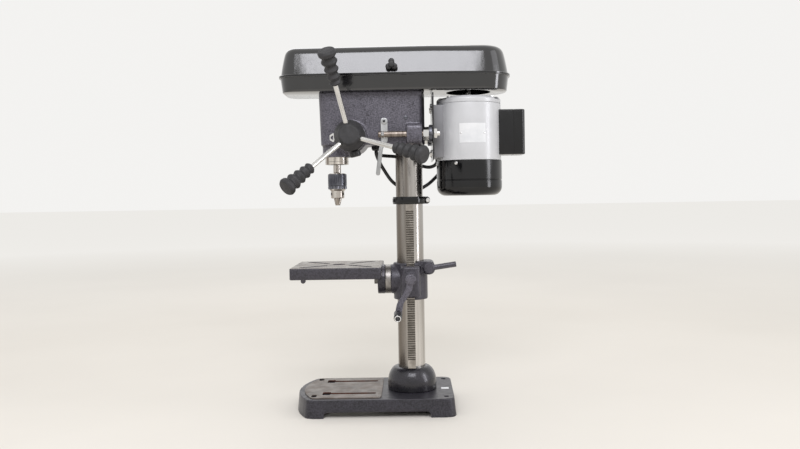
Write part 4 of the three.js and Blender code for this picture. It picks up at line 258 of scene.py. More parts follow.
def bevel(obj, width, segments=2, angle=40):
    tool = obj.modifiers.new("bevel", "BEVEL")
    tool.width, tool.segments, tool.limit_method = width, segments, "ANGLE"
    tool.angle_limit, tool.use_clamp_overlap = math.radians(angle), True
    tool.miter_outer = "MITER_ARC"
    return apply_all(obj)


def cast(obj, voxel):
    """Edges softened as a sand casting's are."""
    tool = obj.modifiers.new("remesh", "REMESH")
    tool.mode, tool.voxel_size = "VOXEL", voxel
    soft = obj.modifiers.new("smooth", "SMOOTH")
    soft.factor, soft.iterations = 0.5, 4
    return apply_all(obj)


def moved(obj, matrix):
    obj.data.transform(matrix)
    return obj


def joined(objs):
    """One mesh from several, without a boolean."""
    bm = bmesh.new()
    for obj in objs:
        bm.from_mesh(obj.data)
        removed(obj)
    mesh = bpy.data.meshes.new("joined")
    bm.to_mesh(mesh)
    bm.free()
    obj = bpy.data.objects.new("joined", mesh)
    scene.collection.objects.link(obj)
    return obj


# Materials, kept by name in LOOKS. The CAD's slots have the names of the materials that they get.
LOOKS = {}


def srgb(color):
    shares = [c / 255 for c in color]
    return (*(c / 12.92 if c <= 0.04045 else ((c + 0.055) / 1.055) ** 2.4 for c in shares), 1)


def fill(tree, node, values):
    """Links a node's inputs to sockets, or sets them to values."""
    for key, value in values.items():
        if isinstance(value, bpy.types.NodeSocket):
            tree.links.new(value, node.inputs[key])
        else:
            node.inputs[key].default_value = value


def add(tree, kind, values=None, **settings):
    node = tree.nodes.new("ShaderNode" + kind)
    for key, value in settings.items():
        setattr(node, key, value)
    fill(tree, node, values or {})
    return node.outputs


def look(name, low, high, rough=(0.4, 0.5), metal=0.0, mottle=60, mottle_cut=(0.35, 0.65), bumps=(),
         coat=0.0, coat_rough=0.1, spots=None, wear=None, stretch=(1, 1, 1), specular=0.5, across=None):
    """low and high are two colours that a noise mixes. bumps are (kind, scale, distance in mm), some with
    a stretch. spots is (scale, colour, share). wear is (colour, amount) along edges. across is (axis,
    colour, from, to): painted shade, a colour that fades out between two places along an axis, in metres."""
    material = LOOKS[name] = bpy.data.materials.new(name)
    material.use_nodes = True
    tree = material.node_tree
    place = add(tree, "TexCoord")["Object"]

    def mapped(scale=(1, 1, 1)):
        return add(tree, "Mapping", {"Scale": scale, "Vector": place})["Vector"]

    def noise(scale, how=(1, 1, 1), detail=4.0, rough_share=0.55):
        values = {"Scale": scale, "Detail": detail, "Roughness": rough_share, "Vector": mapped(how)}
        return add(tree, "TexNoise", values)["Fac"]

    def cells(scale, vector):
        return add(tree, "TexVoronoi", {"Scale": scale, "Vector": vector}, feature="SMOOTH_F1")["Distance"]

    def ranged(value, *ends):
        values = dict(zip(("From Min", "From Max", "To Min", "To Max"), ends))
        return add(tree, "MapRange", {"Value": value, **values})["Result"]

    def mixed(factor, a, b):
        return add(tree, "Mix", {0: factor, 6: a, 7: b}, data_type="RGBA")[2]

    color = mixed(ranged(noise(mottle, stretch), *mottle_cut, 0, 1), srgb(low), srgb(high))
    if spots:
        scale, spot_color, share = spots
        wobble = add(tree, "TexNoise", {"Scale": scale * 0.8, "Vector": mapped()})["Color"]
        bent = {0: wobble, 1: (1.6 / scale,) * 3, 2: mapped()}
        distance = cells(scale, add(tree, "VectorMath", bent, operation="MULTIPLY_ADD")[0])
        color = mixed(ranged(distance, 0.25, 0.6, share, 0), color, srgb(spot_color))
    if wear:
        worn, amount = wear
        edges = add(tree, "NewGeometry")["Pointiness"]
        color = mixed(ranged(edges, 0.52, 0.6, 0, amount), color, srgb(worn))
    # Painted shade: the across colour covers the part up to one place along an axis and fades out by the next
    if across:
        axis, painted_shade_color, start, end = across
        along = add(tree, "SeparateXYZ", {0: place})[axis]
        color = mixed(ranged(along, start, end, 1, 0), color, srgb(painted_shade_color))
    surface = {
        "Base Color": color, "Roughness": ranged(noise(mottle * 2.3, stretch), 0.3, 0.7, *rough),
        "Metallic": metal, "Specular IOR Level": specular,
    }
    if coat:
        surface.update({"Coat Weight": coat, "Coat Roughness": coat_rough})
    below = {}
    for kind, scale, distance, *how in bumps:
        if kind == "cells":
            height = cells(scale, mapped(*how))
        else:
            height = noise(scale, *how, detail=3.0, rough_share=0.6)
        values = {"Distance": distance * MM, "Strength": 1.0, "Height": height, **below}
        below = {"Normal": add(tree, "Bump", values)["Normal"]}
    fill(tree, tree.nodes["Principled BSDF"], {**surface, **below})
    return material


# Castings
look("hammertone_iron", (62, 60, 67), (80, 78, 86), (0.28, 0.4), 0.35, 55, spots=(580, (116, 113, 124), 0.6),
     bumps=[("cells", 580, 0.26), ("noise", 60, 0.2)], wear=((124, 120, 126), 0.3))
look("table_iron", (50, 49, 55), (66, 64, 71), (0.32, 0.44), 0.3, 55, spots=(580, (86, 83, 93), 0.5),
     bumps=[("cells", 580, 0.2), ("noise", 60, 0.2)], wear=((120, 116, 122), 0.3))
look("dark_enamel", (30, 29, 34), (40, 38, 45), (0.28, 0.4), 0.2, 40, spots=(480, (68, 66, 75), 0.55),
     bumps=[("cells", 480, 0.14), ("noise", 50, 0.2)], wear=((112, 108, 116), 0.4))
look("glossy_casting", (28, 27, 32), (46, 44, 51), (0.2, 0.32), 0.3, 40, coat=0.3, coat_rough=0.14,
     bumps=[("noise", 140, 0.35), ("cells", 430, 0.16)], wear=((116, 112, 118), 0.3))
look("black_iron", (12, 12, 14), (22, 21, 24), (0.16, 0.26), 0.1, 60, coat=0.5,
     bumps=[("noise", 90, 0.15)], wear=((80, 78, 80), 0.3))

# Machined and rusted faces
look("ground_iron", (116, 112, 108), (158, 154, 148), (0.34, 0.46), 0.75, 30, spots=(55, (108, 88, 70), 0.35),
     bumps=[("noise", 90, 0.02, (1, 14, 1)), ("noise", 700, 0.01)])
look("machined_pad", (98, 93, 89), (136, 130, 125), (0.34, 0.5), 0.65, 34, spots=(64, (98, 80, 68), 0.45),
     bumps=[("noise", 80, 0.02, (1, 12, 1))])
look("slot_rust", (82, 46, 34), (112, 70, 54), (0.5, 0.7), 0.3, 60, spots=(160, (64, 40, 32), 0.6),
     bumps=[("noise", 300, 0.05)])
look("tilt_ring", (100, 97, 95), (168, 164, 160), (0.28, 0.4), 0.9, 34, (0.3, 0.7), stretch=(1, 1, 0.3),
     bumps=[("noise", 300, 0.01)])

# Steels and other metals
# Painted shade: the column's -Y side is darker, fully from 19 mm off its axis, fading out by 9 mm
look("column_steel", (112, 105, 98), (232, 229, 225), (0.18, 0.28), 1.0, 34, (0.32, 0.7),
     stretch=(1, 1, 0.04), bumps=[("noise", 260, 0.006, (1, 1, 0.05)), ("noise", 30, 0.04, (1, 1, 0.3))],
     across=("Y", (116, 108, 100), AXIS.y - 0.019, AXIS.y - 0.009))
look("turned_steel", (118, 106, 96), (226, 222, 216), (0.18, 0.28), 1.0, 90, (0.32, 0.66),
     stretch=(1, 1, 0.03), bumps=[("noise", 260, 0.004, (1, 1, 4))])
# Painted shade: the rack is darker in its tooth gaps and roots, nearer the axis than 28.4 mm in x, fading out
# by 29.1 mm
look("rack_steel", (152, 147, 140), (190, 184, 177), (0.3, 0.42), 0.85, 60, spots=(90, (116, 108, 98), 0.4),
     bumps=[("noise", 500, 0.02)], across=("X", (92, 88, 83), AXIS.x + 0.0284, AXIS.x + 0.0291))
look("gear_steel", (118, 116, 112), (148, 145, 140), (0.3, 0.4), 0.9, 60, bumps=[("noise", 500, 0.02)])
look("bright_steel", (210, 209, 207), (224, 223, 221), (0.14, 0.24), 1.0, 40, bumps=[("noise", 300, 0.003)])
look("blued_steel", (72, 73, 80), (96, 97, 104), (0.26, 0.36), 0.85, 60, bumps=[("noise", 500, 0.015)],
     wear=((150, 150, 156), 0.5))
look("zinc_steel", (142, 141, 140), (184, 183, 180), (0.2, 0.3), 1.0, 30, spots=(40, (158, 153, 138), 0.4),
     bumps=[("noise", 240, 0.01)])
look("dull_rod", (112, 102, 95), (158, 148, 139), (0.3, 0.42), 0.9, 60, stretch=(1, 6, 1),
     bumps=[("noise", 300, 0.03, (1, 4, 1))])
look("cast_zinc", (128, 124, 108), (160, 155, 136), (0.3, 0.42), 0.85, 40, spots=(80, (108, 103, 88), 0.4),
     bumps=[("noise", 300, 0.02)])
look("scale_dark", (24, 24, 26), (34, 34, 37), (0.28, 0.38), 0.3, 50, bumps=[("noise", 400, 0.01)],
     wear=((130, 130, 132), 0.5))
look("winding_copper", (120, 66, 34), (168, 98, 54), (0.35, 0.5), 0.8, 60,
     bumps=[("noise", 900, 0.08, (1, 1, 6))])
look("pulley_aluminium", (160, 161, 162), (190, 191, 192), (0.28, 0.4), 0.95, 40,
     bumps=[("noise", 200, 0.02, (1, 1, 10))])

# Paint, plastic and rubber
look("black_rubber", (34, 34, 36), (48, 47, 50), (0.5, 0.64), 0.0, 90,
     bumps=[("noise", 900, 0.03), ("noise", 120, 0.08)], wear=((84, 82, 84), 0.3))
look("belt_rubber", (24, 24, 25), (36, 35, 36), (0.6, 0.75), 0.0, 80, bumps=[("noise", 600, 0.05)])
look("lead_rubber", (22, 22, 24), (32, 32, 34), (0.42, 0.55), 0.0, 60, bumps=[("noise", 500, 0.02)])
look("black_plastic", (20, 20, 22), (30, 30, 32), (0.32, 0.42), 0.0, 60, bumps=[("noise", 700, 0.02)])
look("gloss_black", (9, 9, 11), (15, 15, 17), (0.1, 0.16), 0.0, 24, coat=0.6, coat_rough=0.05, specular=0.7,
     bumps=[("noise", 22, 0.35), ("noise", 150, 0.02, (1, 1, 0.05))])
look("cowl_black", (6, 6, 7), (10, 10, 12), (0.1, 0.2), 0.0, 24, specular=0.45,
     bumps=[("noise", 22, 0.3), ("noise", 260, 0.012)])
look("capacitor_black", (7, 7, 9), (12, 12, 14), (0.12, 0.2), 0.0, 30, specular=0.45,
     bumps=[("noise", 40, 0.2), ("noise", 400, 0.015)])
look("motor_grey", (187, 188, 191), (199, 200, 203), (0.28, 0.38), 0.05, 16, coat=0.25, coat_rough=0.15,
     bumps=[("noise", 420, 0.015), ("noise", 30, 0.15)], spots=(14, (184, 185, 188), 0.3))
# A darker copy of motor_grey: painted shade on the motor's foot, between the shell and the motor's plate
look("foot_shade_grey", (112, 112, 116), (128, 128, 132), (0.3, 0.4), 0.05, 16, coat=0.25, coat_rough=0.15,
     bumps=[("noise", 420, 0.015)])
look("start_green", (22, 118, 62), (34, 138, 74), (0.3, 0.4), 0.0, 80, bumps=[("noise", 500, 0.015)])
look("stop_red", (168, 26, 24), (190, 38, 32), (0.3, 0.4), 0.0, 80, bumps=[("noise", 500, 0.015)])
look("label_white", (222, 224, 226), (232, 233, 234), (0.35, 0.5), 0.1, 50, bumps=[("noise", 300, 0.01)])
look("plate_grey", (206, 208, 211), (218, 219, 221), (0.35, 0.5), 0.1, 50, bumps=[("noise", 300, 0.01)])


# Pieces
def smooth(obj, angle=38):
    obj.data.polygons.foreach_set("use_smooth", [True] * len(obj.data.polygons))
    obj.data.set_sharp_from_angle(angle=math.radians(angle))


def piece(obj, name, body, slot, material=None, angle=38):
    """Takes a solid in millimetres to its place as a named piece that rides on a body."""
    obj.data.transform(PLACE)
    obj.name = obj.data.name = name
    obj.data.materials.clear()
    obj.data.materials.append(LOOKS[material or slot])
    smooth(obj, angle)
    if body:
        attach(obj, body)
    return obj


def dressed(obj, node, material=None, angle=38):
    """A finer piece in place of a CAD node."""
    piece(obj, "fine_" + node, BODY[node], SLOT[node], material, angle)
    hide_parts(node)
    return obj


def faced(obj, material, chosen):
    """Gives a further material to the faces that are chosen by centre, in millimetres, and normal."""
    obj.data.materials.append(LOOKS[material])
    for face in obj.data.polygons:
        if chosen(BACK @ face.center, face.normal):
            face.material_index = len(obj.data.materials) - 1


for node, shown in frame["nodes"].items():
    shown.data.materials.clear()
    shown.data.materials.append(LOOKS[SLOT[node]])
    smooth(shown)

# Motor leads, from the gland under the head to the motor, by the routes of the part's source
LEAD_RADIUS = 3
UPPER_LEAD = [
    (-15.8, -56, 439.3), (-15.8, -55.8, 435.8), (-17.5, -50, 432.2), (-23, -40, 431),
    (-29, -22, 429.5), (-30.5, 0, 423), (-30, 22, 413), (-28.5, 36, 410.5), (-26, 45, 413.5),
    (-25, 49, 418.5), (-25, 49.2, 423.6),
]
LOWER_LEAD = [
    (-8.2, -56, 439.3), (-8.3, -55.8, 434), (-12, -51.5, 422), (-18, -43, 406), (-24, -28, 385),
    (-29.5, -8, 373), (-32, 14, 371.5), (-36, 32, 380), (-44, 47, 393), (-54, 60, 407),
    (-60.5, 74, 420), (-63, 86, 429), (-63.5, 96, 431.5), (-60.8, 102, 431.5), (-55.6, 103, 431.5),
]


def curve_points(route, steps=8):
    """A centripetal curve through the route's points."""
    points = [Vector(p) for p in route]
    ends = [2 * points[0] - points[1]] + points + [2 * points[-1] - points[-2]]
    line = []
    for i in range(len(points) - 1):
        p0, p1, p2, p3 = ends[i:i + 4]
        d0, d1, d2 = ((b - a).length ** 0.5 for a, b in ((p0, p1), (p1, p2), (p2, p3)))
        t1 = ((p1 - p0) / d0 - (p2 - p0) / (d0 + d1) + (p2 - p1) / d1) * d1
        t2 = ((p2 - p1) / d1 - (p3 - p1) / (d1 + d2) + (p3 - p2) / d2) * d1
        for k in range(steps):
            t = k / steps
            bend = (3 * (p2 - p1) - 2 * t1 - t2) * t * t + (2 * (p1 - p2) + t1 + t2) * t ** 3
            line.append(p1 + t1 * t + bend)
    return line + [points[-1]]


def lead(name, node, route, sides=16):
    line = curve_points(route)
    ring = [polar(1, TURN * k / sides) for k in range(sides)]
    rings, side = [], Vector((1, 0, 0))
    for i, point in enumerate(line):
        ahead = (line[min(i + 1, len(line) - 1)] - line[max(i - 1, 0)]).normalized()
        side = (side - ahead * side.dot(ahead)).normalized()
        across = ahead.cross(side)
        rings.append([point + LEAD_RADIUS * (u * side + v * across) for u, v in ring])
    cable = piece(stack(rings), name, None, "lead_rubber")
    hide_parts(node)
    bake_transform(cable)


lead("upper_lead", "motor_lead_upper", UPPER_LEAD)
lead("lower_lead", "motor_lead_lower", LOWER_LEAD)

# Cutting tools reach this far past what they cut, and a hole is this much wider than its pin all round
PAST, FIT = 1, 0.25

# Base: the casting, its machined pad, and the plain sticker beside the column
base_low, base_high = span("base_casting")
BASE_FLARE = 3
BASE_HALF = base_high.x - BASE_FLARE
BASE_FRONT, BASE_REAR = base_low.y + BASE_FLARE, base_high.y - BASE_FLARE
PAD_HEIGHT, PAD_INSET, PAD_REAR = 2, 9, -51
BASE_TOP = base_high.z - PAD_HEIGHT
BASE_ARC, BASE_CORNER, BASE_WALL, BASE_ROOF = 150, 14, 8, 9
ARCH_FRONT, ARCH_REAR, ARCH_TOP, ARCH_RADIUS = -145, 29, 9.5, 5
SLOT_X, SLOT_WIDTH, SLOT_FRONT, SLOT_REAR = 44.5, 9.5, -150.5, -60.5
MOUTH_WIDTH, MOUTH_LENGTH, MOUTH_RADIUS = 20, 13.5, 2.5
FRONT_HOLE, REAR_HOLE = (60, -163), (64, 56)
HOLE_RADIUS, HOLE_LENGTH = 4.5, 16
STICKER = (1, 13, 49.5, 62.5)
ROUND_SHARE = 0.98
BELOW = -5


def base_outline(inset, rear, flare=0):
    half, radius = BASE_HALF - inset, BASE_ARC - inset
    centre = BASE_FRONT + inset + radius
    shoulder = centre - math.sqrt(radius ** 2 - half ** 2)
    corner = BASE_CORNER - inset / 2
    corners = [(half, rear, corner), (-half, rear, corner), (-half, shoulder, corner)]
    arcs = 20
    for k in range(1, arcs):
        x = half * (2 * k / arcs - 1)
        corners.append((x, centre - math.sqrt(radius ** 2 - x ** 2)))
    corners.append((half, shoulder, corner))
    middle, long_half = (BASE_FRONT + BASE_REAR) / 2, (BASE_REAR - BASE_FRONT) / 2
    return [(x * (1 + flare / BASE_HALF), middle + (y - middle) * (1 + flare / long_half))
            for x, y in fillets(corners, 8)]


def base_cutters():
    hole_x, hole_y = FRONT_HOLE
    shapes = (
        (SLOT_X, SLOT_WIDTH / 2, SLOT_FRONT, SLOT_REAR, SLOT_WIDTH / 2 * ROUND_SHARE),
        (SLOT_X, MOUTH_WIDTH / 2, SLOT_FRONT, SLOT_FRONT + MOUTH_LENGTH, MOUTH_RADIUS),
        (hole_x, HOLE_LENGTH / 2, hole_y - HOLE_RADIUS, hole_y + HOLE_RADIUS, HOLE_RADIUS * ROUND_SHARE),
    )
    tools = []
    top = BASE_TOP + 10
    for side in (-1, 1):
        for x, half, front, rear, radius in shapes:
            outline = rectangle(side * x - half, side * x + half, front, rear, radius)
            tools.append(prism(outline, BELOW, top))
        tools.append(pin(HOLE_RADIUS, BELOW, top, centre=(side * REAR_HOLE[0], REAR_HOLE[1])))
    return tools


def in_slot(place, normal):
    beside = abs(abs(place.x) - SLOT_X) < MOUTH_WIDTH and SLOT_FRONT - PAST < place.y < SLOT_REAR + PAST
    return abs(normal.z) < 0.5 and beside


def make_base():
    flared, plain = base_outline(0, BASE_REAR, BASE_FLARE), base_outline(0, BASE_REAR)
    body = stack([level(flared, 0), level(plain, BASE_TOP)])
    hollow = prism(base_outline(BASE_WALL, BASE_REAR - BASE_WALL), BELOW, BASE_TOP - BASE_ROOF)
    arch = fillets([(ARCH_FRONT, BELOW), (ARCH_REAR, BELOW), (ARCH_REAR, ARCH_TOP, ARCH_RADIUS),
                    (ARCH_FRONT, ARCH_TOP, ARCH_RADIUS)])
    cast(cut(body, [hollow, prism(arch, -100, 100, "X")]), 1.5)
    dressed(cut(body, base_cutters()), "base_casting", "dark_enamel")
    pad = bevel(prism(base_outline(PAD_INSET, PAD_REAR), BASE_TOP - 1, BASE_TOP + PAD_HEIGHT), 0.7, 2)
    piece(cut(pad, base_cutters()), "base_pad", "frame", "hammertone_iron", "machined_pad")
    faced(pad, "slot_rust", in_slot)
    sticker = prism(rectangle(*STICKER, 0.8), BASE_TOP - 0.3, BASE_TOP + 0.15)
    piece(sticker, "base_sticker", "frame", "hammertone_iron", "label_white")


# Column with its flange and the collar over the rack
COLUMN_RADIUS, COLUMN_WALL = 23, 3
COLUMN_BORE = COLUMN_RADIUS + 0.3
FLANGE_SHOULDER, FLANGE_RIM = 10, COLUMN_RADIUS + 2.6
COLLAR_RADIUS, COLLAR_SCREW_Y = 28.5, 31.5
COLLAR_EAR_ANGLE = math.radians(24)


def make_flange():
    low, high = span("column_flange")
    shoulder, wide, tall = low.z + FLANGE_SHOULDER, high.x - FLANGE_RIM, high.z - low.z - FLANGE_SHOULDER
    profile = [(COLUMN_BORE, low.z), (high.x, low.z, 1)]
    steps = 24
    for k in range(steps + 1):
        angle = QUARTER * k / steps
        profile.append((FLANGE_RIM + wide * math.cos(angle), shoulder + tall * math.sin(angle)))
    dressed(lathe(profile + [(COLUMN_BORE, high.z)], 96), "column_flange", "glossy_casting")


def make_tube():
    low, high = span("column_tube", "Z")
    tube = tube_ring(COLUMN_RADIUS - COLUMN_WALL, COLUMN_RADIUS, low, high, steps=128, edge=0.6)
    dressed(tube, "column_tube")


def make_collar():
    low, high = span("rack_collar")
    height, middle = high.z - low.z, (low.z + high.z) / 2
    ring = tube_ring(COLUMN_BORE - 0.5, COLLAR_RADIUS, low.z, high.z, steps=96, edge=0.8)
    half, root = 7, 24
    outline = fillets([(-half, root), (half, root), (half, high.y, 6.5), (-half, high.y, 6.5)], 12)
    lug = bevel(prism(outline, low.z + 0.1, high.z - 0.1), 0.8, 2)
    ears = []
    for side in (-1, 1):
        ear = prism(rectangle(20, 30.5, -height / 5, height / 5), low.z + height / 4, low.z + 3 * height / 4)
        ears.append(moved(bevel(ear, 0.5, 2), pose((0, 0), -QUARTER + side * COLLAR_EAR_ANGLE)))
    end = height / 2.1
    side = fillets([(20, low.z), (high.y, low.z, end), (high.y, high.z, end), (20, high.z)], 12)
    together(lug, [prism(side, -half - PAST, half + PAST, "X")], "INTERSECT")
    together(ring, [lug] + ears)
    slit = prism(rectangle(-0.8, 0.8, 12, 50), low.z - PAST, high.z + PAST)
    cut(ring, [pin(COLUMN_BORE, low.z - PAST, high.z + PAST, steps=96), slit])
    dressed(ring, "rack_collar", "cowl_black")
    place = (COLLAR_SCREW_Y, middle)
    screw = cut(pin(3.6, 6.8, 9.6, "X", place, 32, 0.5), [hexagon(1.7, 8, 10.5, "X", place)])
    piece(screw, "collar_screw", "frame", "black_plastic", "bright_steel")


# Head, with its bores
head_low, head_high = span("head_casting")
HEAD_HALF, HEAD_FRONT, HEAD_LEAN, HEAD_REAR = 38, -147, 2.6, 24
HEAD_BOTTOM, HEAD_TOP = 447, head_high.z
BARREL_RADIUS, BARREL_BOTTOM = 24, head_low.z
QUILL_RADIUS, QUILL_TOP = 20, 522
COLUMN_BOSS, COLUMN_BORE_TOP, SPINDLE_BORE = 27.8, 515.3, 11.85
PINION_BOSS, PINION_REACH, PINION_HOLE = 26.5, 42, 7 + FIT
PINION_ROOM, PINION_ROOM_END = 10.95, 12.3
ROOM_HALF, ROOM_FRONT, ROOM_REAR, ROOM_BOTTOM = 31, -80, -37, 456
ROD_PAD_START, ROD_PAD_END, ROD_PAD_TOP, ROD_PAD_REAR = 31, 58, 480, 22.5
ROD_X, ROD_Z, ROD_RADIUS, ROD_NUT = 49, 463, 5, 24.4
LEVER_PIVOT, PIVOT_RADIUS = (-40, 485), 3
SWITCH_HOLE, SWITCH_HOLE_RADIUS = (-50, 502), 6
GLAND, GLAND_RADIUS = (-12, -56), 6
HEAD_SCREW = (-4, 491)


def make_head():
    rings = []
    for front, z in ((HEAD_FRONT, HEAD_BOTTOM), (HEAD_FRONT - HEAD_LEAN, HEAD_TOP)):
        corners = [(HEAD_HALF, HEAD_REAR, 7), (-HEAD_HALF, HEAD_REAR, 7), (-HEAD_HALF, front, 14),
                   (HEAD_HALF, front, 14)]
        rings.append(level(fillets(corners, 10), z))
    parts = [
        pin(BARREL_RADIUS, BARREL_BOTTOM, HEAD_TOP - 7, centre=SPINDLE, steps=96),
        pin(PINION_BOSS, -PINION_REACH, PINION_REACH, "X", FEED, 96),
        pin(COLUMN_BOSS, HEAD_BOTTOM, HEAD_TOP, steps=96),
    ]
    for side in (-1, 1):
        start, end = side * ROD_PAD_START, side * ROD_PAD_END
        shape = [(start, HEAD_BOTTOM), (end, HEAD_BOTTOM, 8), (end, ROD_PAD_TOP, 8), (start, ROD_PAD_TOP)]
        parts.append(prism(fillets(shape, 10), -3, ROD_PAD_REAR, "Y"))
    body = cast(together(stack(rings), parts), 1.4)
    # Quill, spindle, column, pinion and its teeth, the room inside, switch, gland, lever and rods
    outside = HEAD_HALF + 12
    tools = [
        pin(QUILL_RADIUS + FIT, BARREL_BOTTOM - PAST, QUILL_TOP, centre=SPINDLE, steps=96),
        pin(SPINDLE_BORE, QUILL_TOP - PAST, HEAD_TOP + PAST, centre=SPINDLE, steps=64),
        pin(COLUMN_BORE, HEAD_BOTTOM - PAST, COLUMN_BORE_TOP, steps=96),
        pin(PINION_HOLE, 0, outside, "X", FEED),
        pin(PINION_ROOM, -outside, PINION_ROOM_END, "X", FEED, 64),
        prism(rectangle(-ROOM_HALF, ROOM_HALF, ROOM_FRONT, ROOM_REAR, 7), ROOM_BOTTOM, HEAD_TOP + PAST),
        pin(SWITCH_HOLE_RADIUS, -outside, 0, "X", SWITCH_HOLE),
        pin(GLAND_RADIUS + 0.3, HEAD_BOTTOM - PAST, ROOM_BOTTOM + PAST, centre=GLAND),
        pin(PIVOT_RADIUS + FIT, HEAD_HALF - 8, outside, "X", LEVER_PIVOT),
    ]
    tools += [pin(ROD_RADIUS + FIT, -5, 25, "Y", (side * ROD_X, ROD_Z)) for side in (-1, 1)]
    dressed(cut(body, tools), "head_casting")
    lip = tube_ring(QUILL_RADIUS + 0.4, BARREL_RADIUS - 0.9, BARREL_BOTTOM + 0.02, BARREL_BOTTOM + 2,
                    centre=SPINDLE)
    piece(lip, "barrel_face", "frame", "hammertone_iron", "gear_steel")
    y, z = HEAD_SCREW
    screw = pin(3.4, HEAD_HALF - 1, HEAD_HALF + 1.6, "X", HEAD_SCREW, 32, 0.6)
    slot = prism(rectangle(y - 5, y + 5, z - 0.45, z + 0.45), HEAD_HALF + 0.7, HEAD_HALF + 3, "X")
    piece(cut(screw, [slot]), "head_screw", "frame", "hammertone_iron", "blued_steel")


# Belt housing and lid, each with its knuckles on one hinge pin
lid_low, lid_high = span("belt_cover_lid")
COVER_FRONT, COVER_REAR = lid_low.y, lid_high.y
COVER_FRONT_HALF, COVER_MIDDLE_HALF, COVER_REAR_HALF = 56, lid_high.x, 55
COVER_MIDDLE_Y = 40
COVER_WALL, LID_WALL = 2.4, 2.5
FOOT_INSET, RIM_INSET = 5.5, 2.6
LIP_BOTTOM, LIP_TOP = 559, 561
LID_BOTTOM, LID_TOP = 561.3, lid_high.z
LID_SHARES = [(0.041, 0.11), (0.38, 0.205), (0.72, 0.33), (0.86, 0.43), (0.94, 0.57), (0.985, 0.77), (1, 1)]
LID_INSET = 30
HINGE, HINGE_HOLE = (-65.6, 561.15), 1.6
KNOB = (-26, 575)


def cover_ring(inset, z, steps=10):
    front, rear = max(30 - inset, 7.5), max(50 - inset, 12.5)
    corners = [(COVER_FRONT_HALF - inset, COVER_FRONT + inset, front),
               (COVER_MIDDLE_HALF - inset, COVER_MIDDLE_Y, 250),
               (COVER_REAR_HALF - inset, COVER_REAR - inset, rear)]
    mirrored = [(-x, y, r) for x, y, r in reversed(corners)]
    return level(fillets(corners + mirrored, steps), z)


def lid_levels(count=28):
    """Shares of height and inset up the lid, on a smooth curve through LID_SHARES."""
    last = len(LID_SHARES) - 1
    levels = []
    for k in range(count + 1):
        t = k / count * last
        i = min(int(t), last - 1)
        t -= i
        near = [LID_SHARES[max(0, min(last, i + j))] for j in (-1, 0, 1, 2)]
        value = []
        for a, b, c, d in zip(*near):
            value.append(0.5 * (2 * b + (c - a) * t + (2 * a - 5 * b + 4 * c - d) * t * t
                                + (3 * b - a - 3 * c + d) * t ** 3))
        levels.append((min(1, value[0]), min(1, value[1])))
    return levels


def knuckle(start, end, leaf_low, leaf_high):
    barrel = pin(3, start, end, "Y", HINGE, 32, 0.3)
    leaf = prism(rectangle(HINGE[0], -56.6, leaf_low, leaf_high), start, end, "Y")
    return together(barrel, [leaf])


def hinge_hole():
    return pin(HINGE_HOLE, -80, 80, "Y", HINGE)


def make_housing():
    bottom = span("belt_housing", "Z")[0]
    foot = bottom + 1
    rings = [(FOOT_INSET + 1, bottom), (FOOT_INSET + 0.25, bottom + 0.3), (FOOT_INSET, foot)]
    steps = 6
    for k in range(1, steps + 1):
        share = k / steps
        rings.append((FOOT_INSET + (RIM_INSET - FOOT_INSET) * share, foot + (LIP_BOTTOM - foot) * share))
    rings += [(0.5, LIP_BOTTOM), (0, LIP_BOTTOM + 0.5), (0, LIP_TOP - 0.3), (0.3, LIP_TOP)]
    housing = stack([cover_ring(inset, z) for inset, z in rings])
    inner = stack([cover_ring(FOOT_INSET + COVER_WALL, bottom + 2.5),
                   cover_ring(RIM_INSET + COVER_WALL, LIP_TOP + PAST)])
    together(housing, [knuckle(-78, -60.3, LIP_BOTTOM, LIP_TOP), knuckle(60, 77.7, LIP_BOTTOM, LIP_TOP)])
    cut(housing, [inner, pin(18, bottom - PAST, bottom + 4, centre=SPINDLE),
                  pin(37.5, bottom - PAST, bottom + 4, centre=MOTOR, steps=96), hinge_hole()])
    dressed(housing, "belt_housing", angle=32)


def make_lid():
    height = LID_TOP - LID_BOTTOM
    rings = [(0.3, LID_BOTTOM), (0, LID_BOTTOM + 0.3), (0, LID_BOTTOM + 1.5), (0.6, LID_BOTTOM + 2)]
    rings += [(LID_INSET * inset, LID_BOTTOM + height * share) for share, inset in lid_levels()]
    lid = stack([cover_ring(inset, z) for inset, z in rings])
    inside = [(LID_INSET * LID_SHARES[0][1] + LID_WALL, LID_BOTTOM - PAST)]
    for share, inset in LID_SHARES[1::2]:
        inside.append((LID_INSET * inset + LID_WALL, LID_BOTTOM + height * share - LID_WALL))
    inner = stack([cover_ring(inset, z) for inset, z in inside])
    together(lid, [knuckle(-60, 59.7, LID_BOTTOM, LID_BOTTOM + 2)])
    cut(lid, [inner, pin(3.05, 0, 62, "X", KNOB), hinge_hole()])
    dressed(lid, "belt_cover_lid", angle=32)
    dressed(pin(1.3, -79, 79, "Y", HINGE, 24, 0.3), "lid_hinge_pin")


# Three-lobed knob on the lid's near side
LOBE_RADIUS, LOBE_REACH, LOBE_LENGTH = 4.95, 5.6, 7.4


def make_lid_knob():
    low, high = span("lid_knob", "X")
    start = high - 12
    middle = [(0, start), (LOBE_RADIUS, start, 0.6), (LOBE_RADIUS, high, 1.6), (0, high)]
    knob = lathe(middle, 48, "X", KNOB)
    end = start + LOBE_LENGTH
    lobe = [(0, start), (LOBE_RADIUS, start, 0.8), (LOBE_RADIUS, end, 2.4), (0, end)]
    places = [polar(LOBE_REACH, QUARTER + TURN * k / 3, KNOB) for k in range(3)]
    parts = [lathe(lobe, 48, "X", place, 6) for place in places]
    parts += [pin(2.8, low, start + 1, "X", KNOB, 32), pin(5.6, low, low + 2, "X", KNOB, 40, 0.3)]
    dressed(together(knob, parts), "lid_knob")


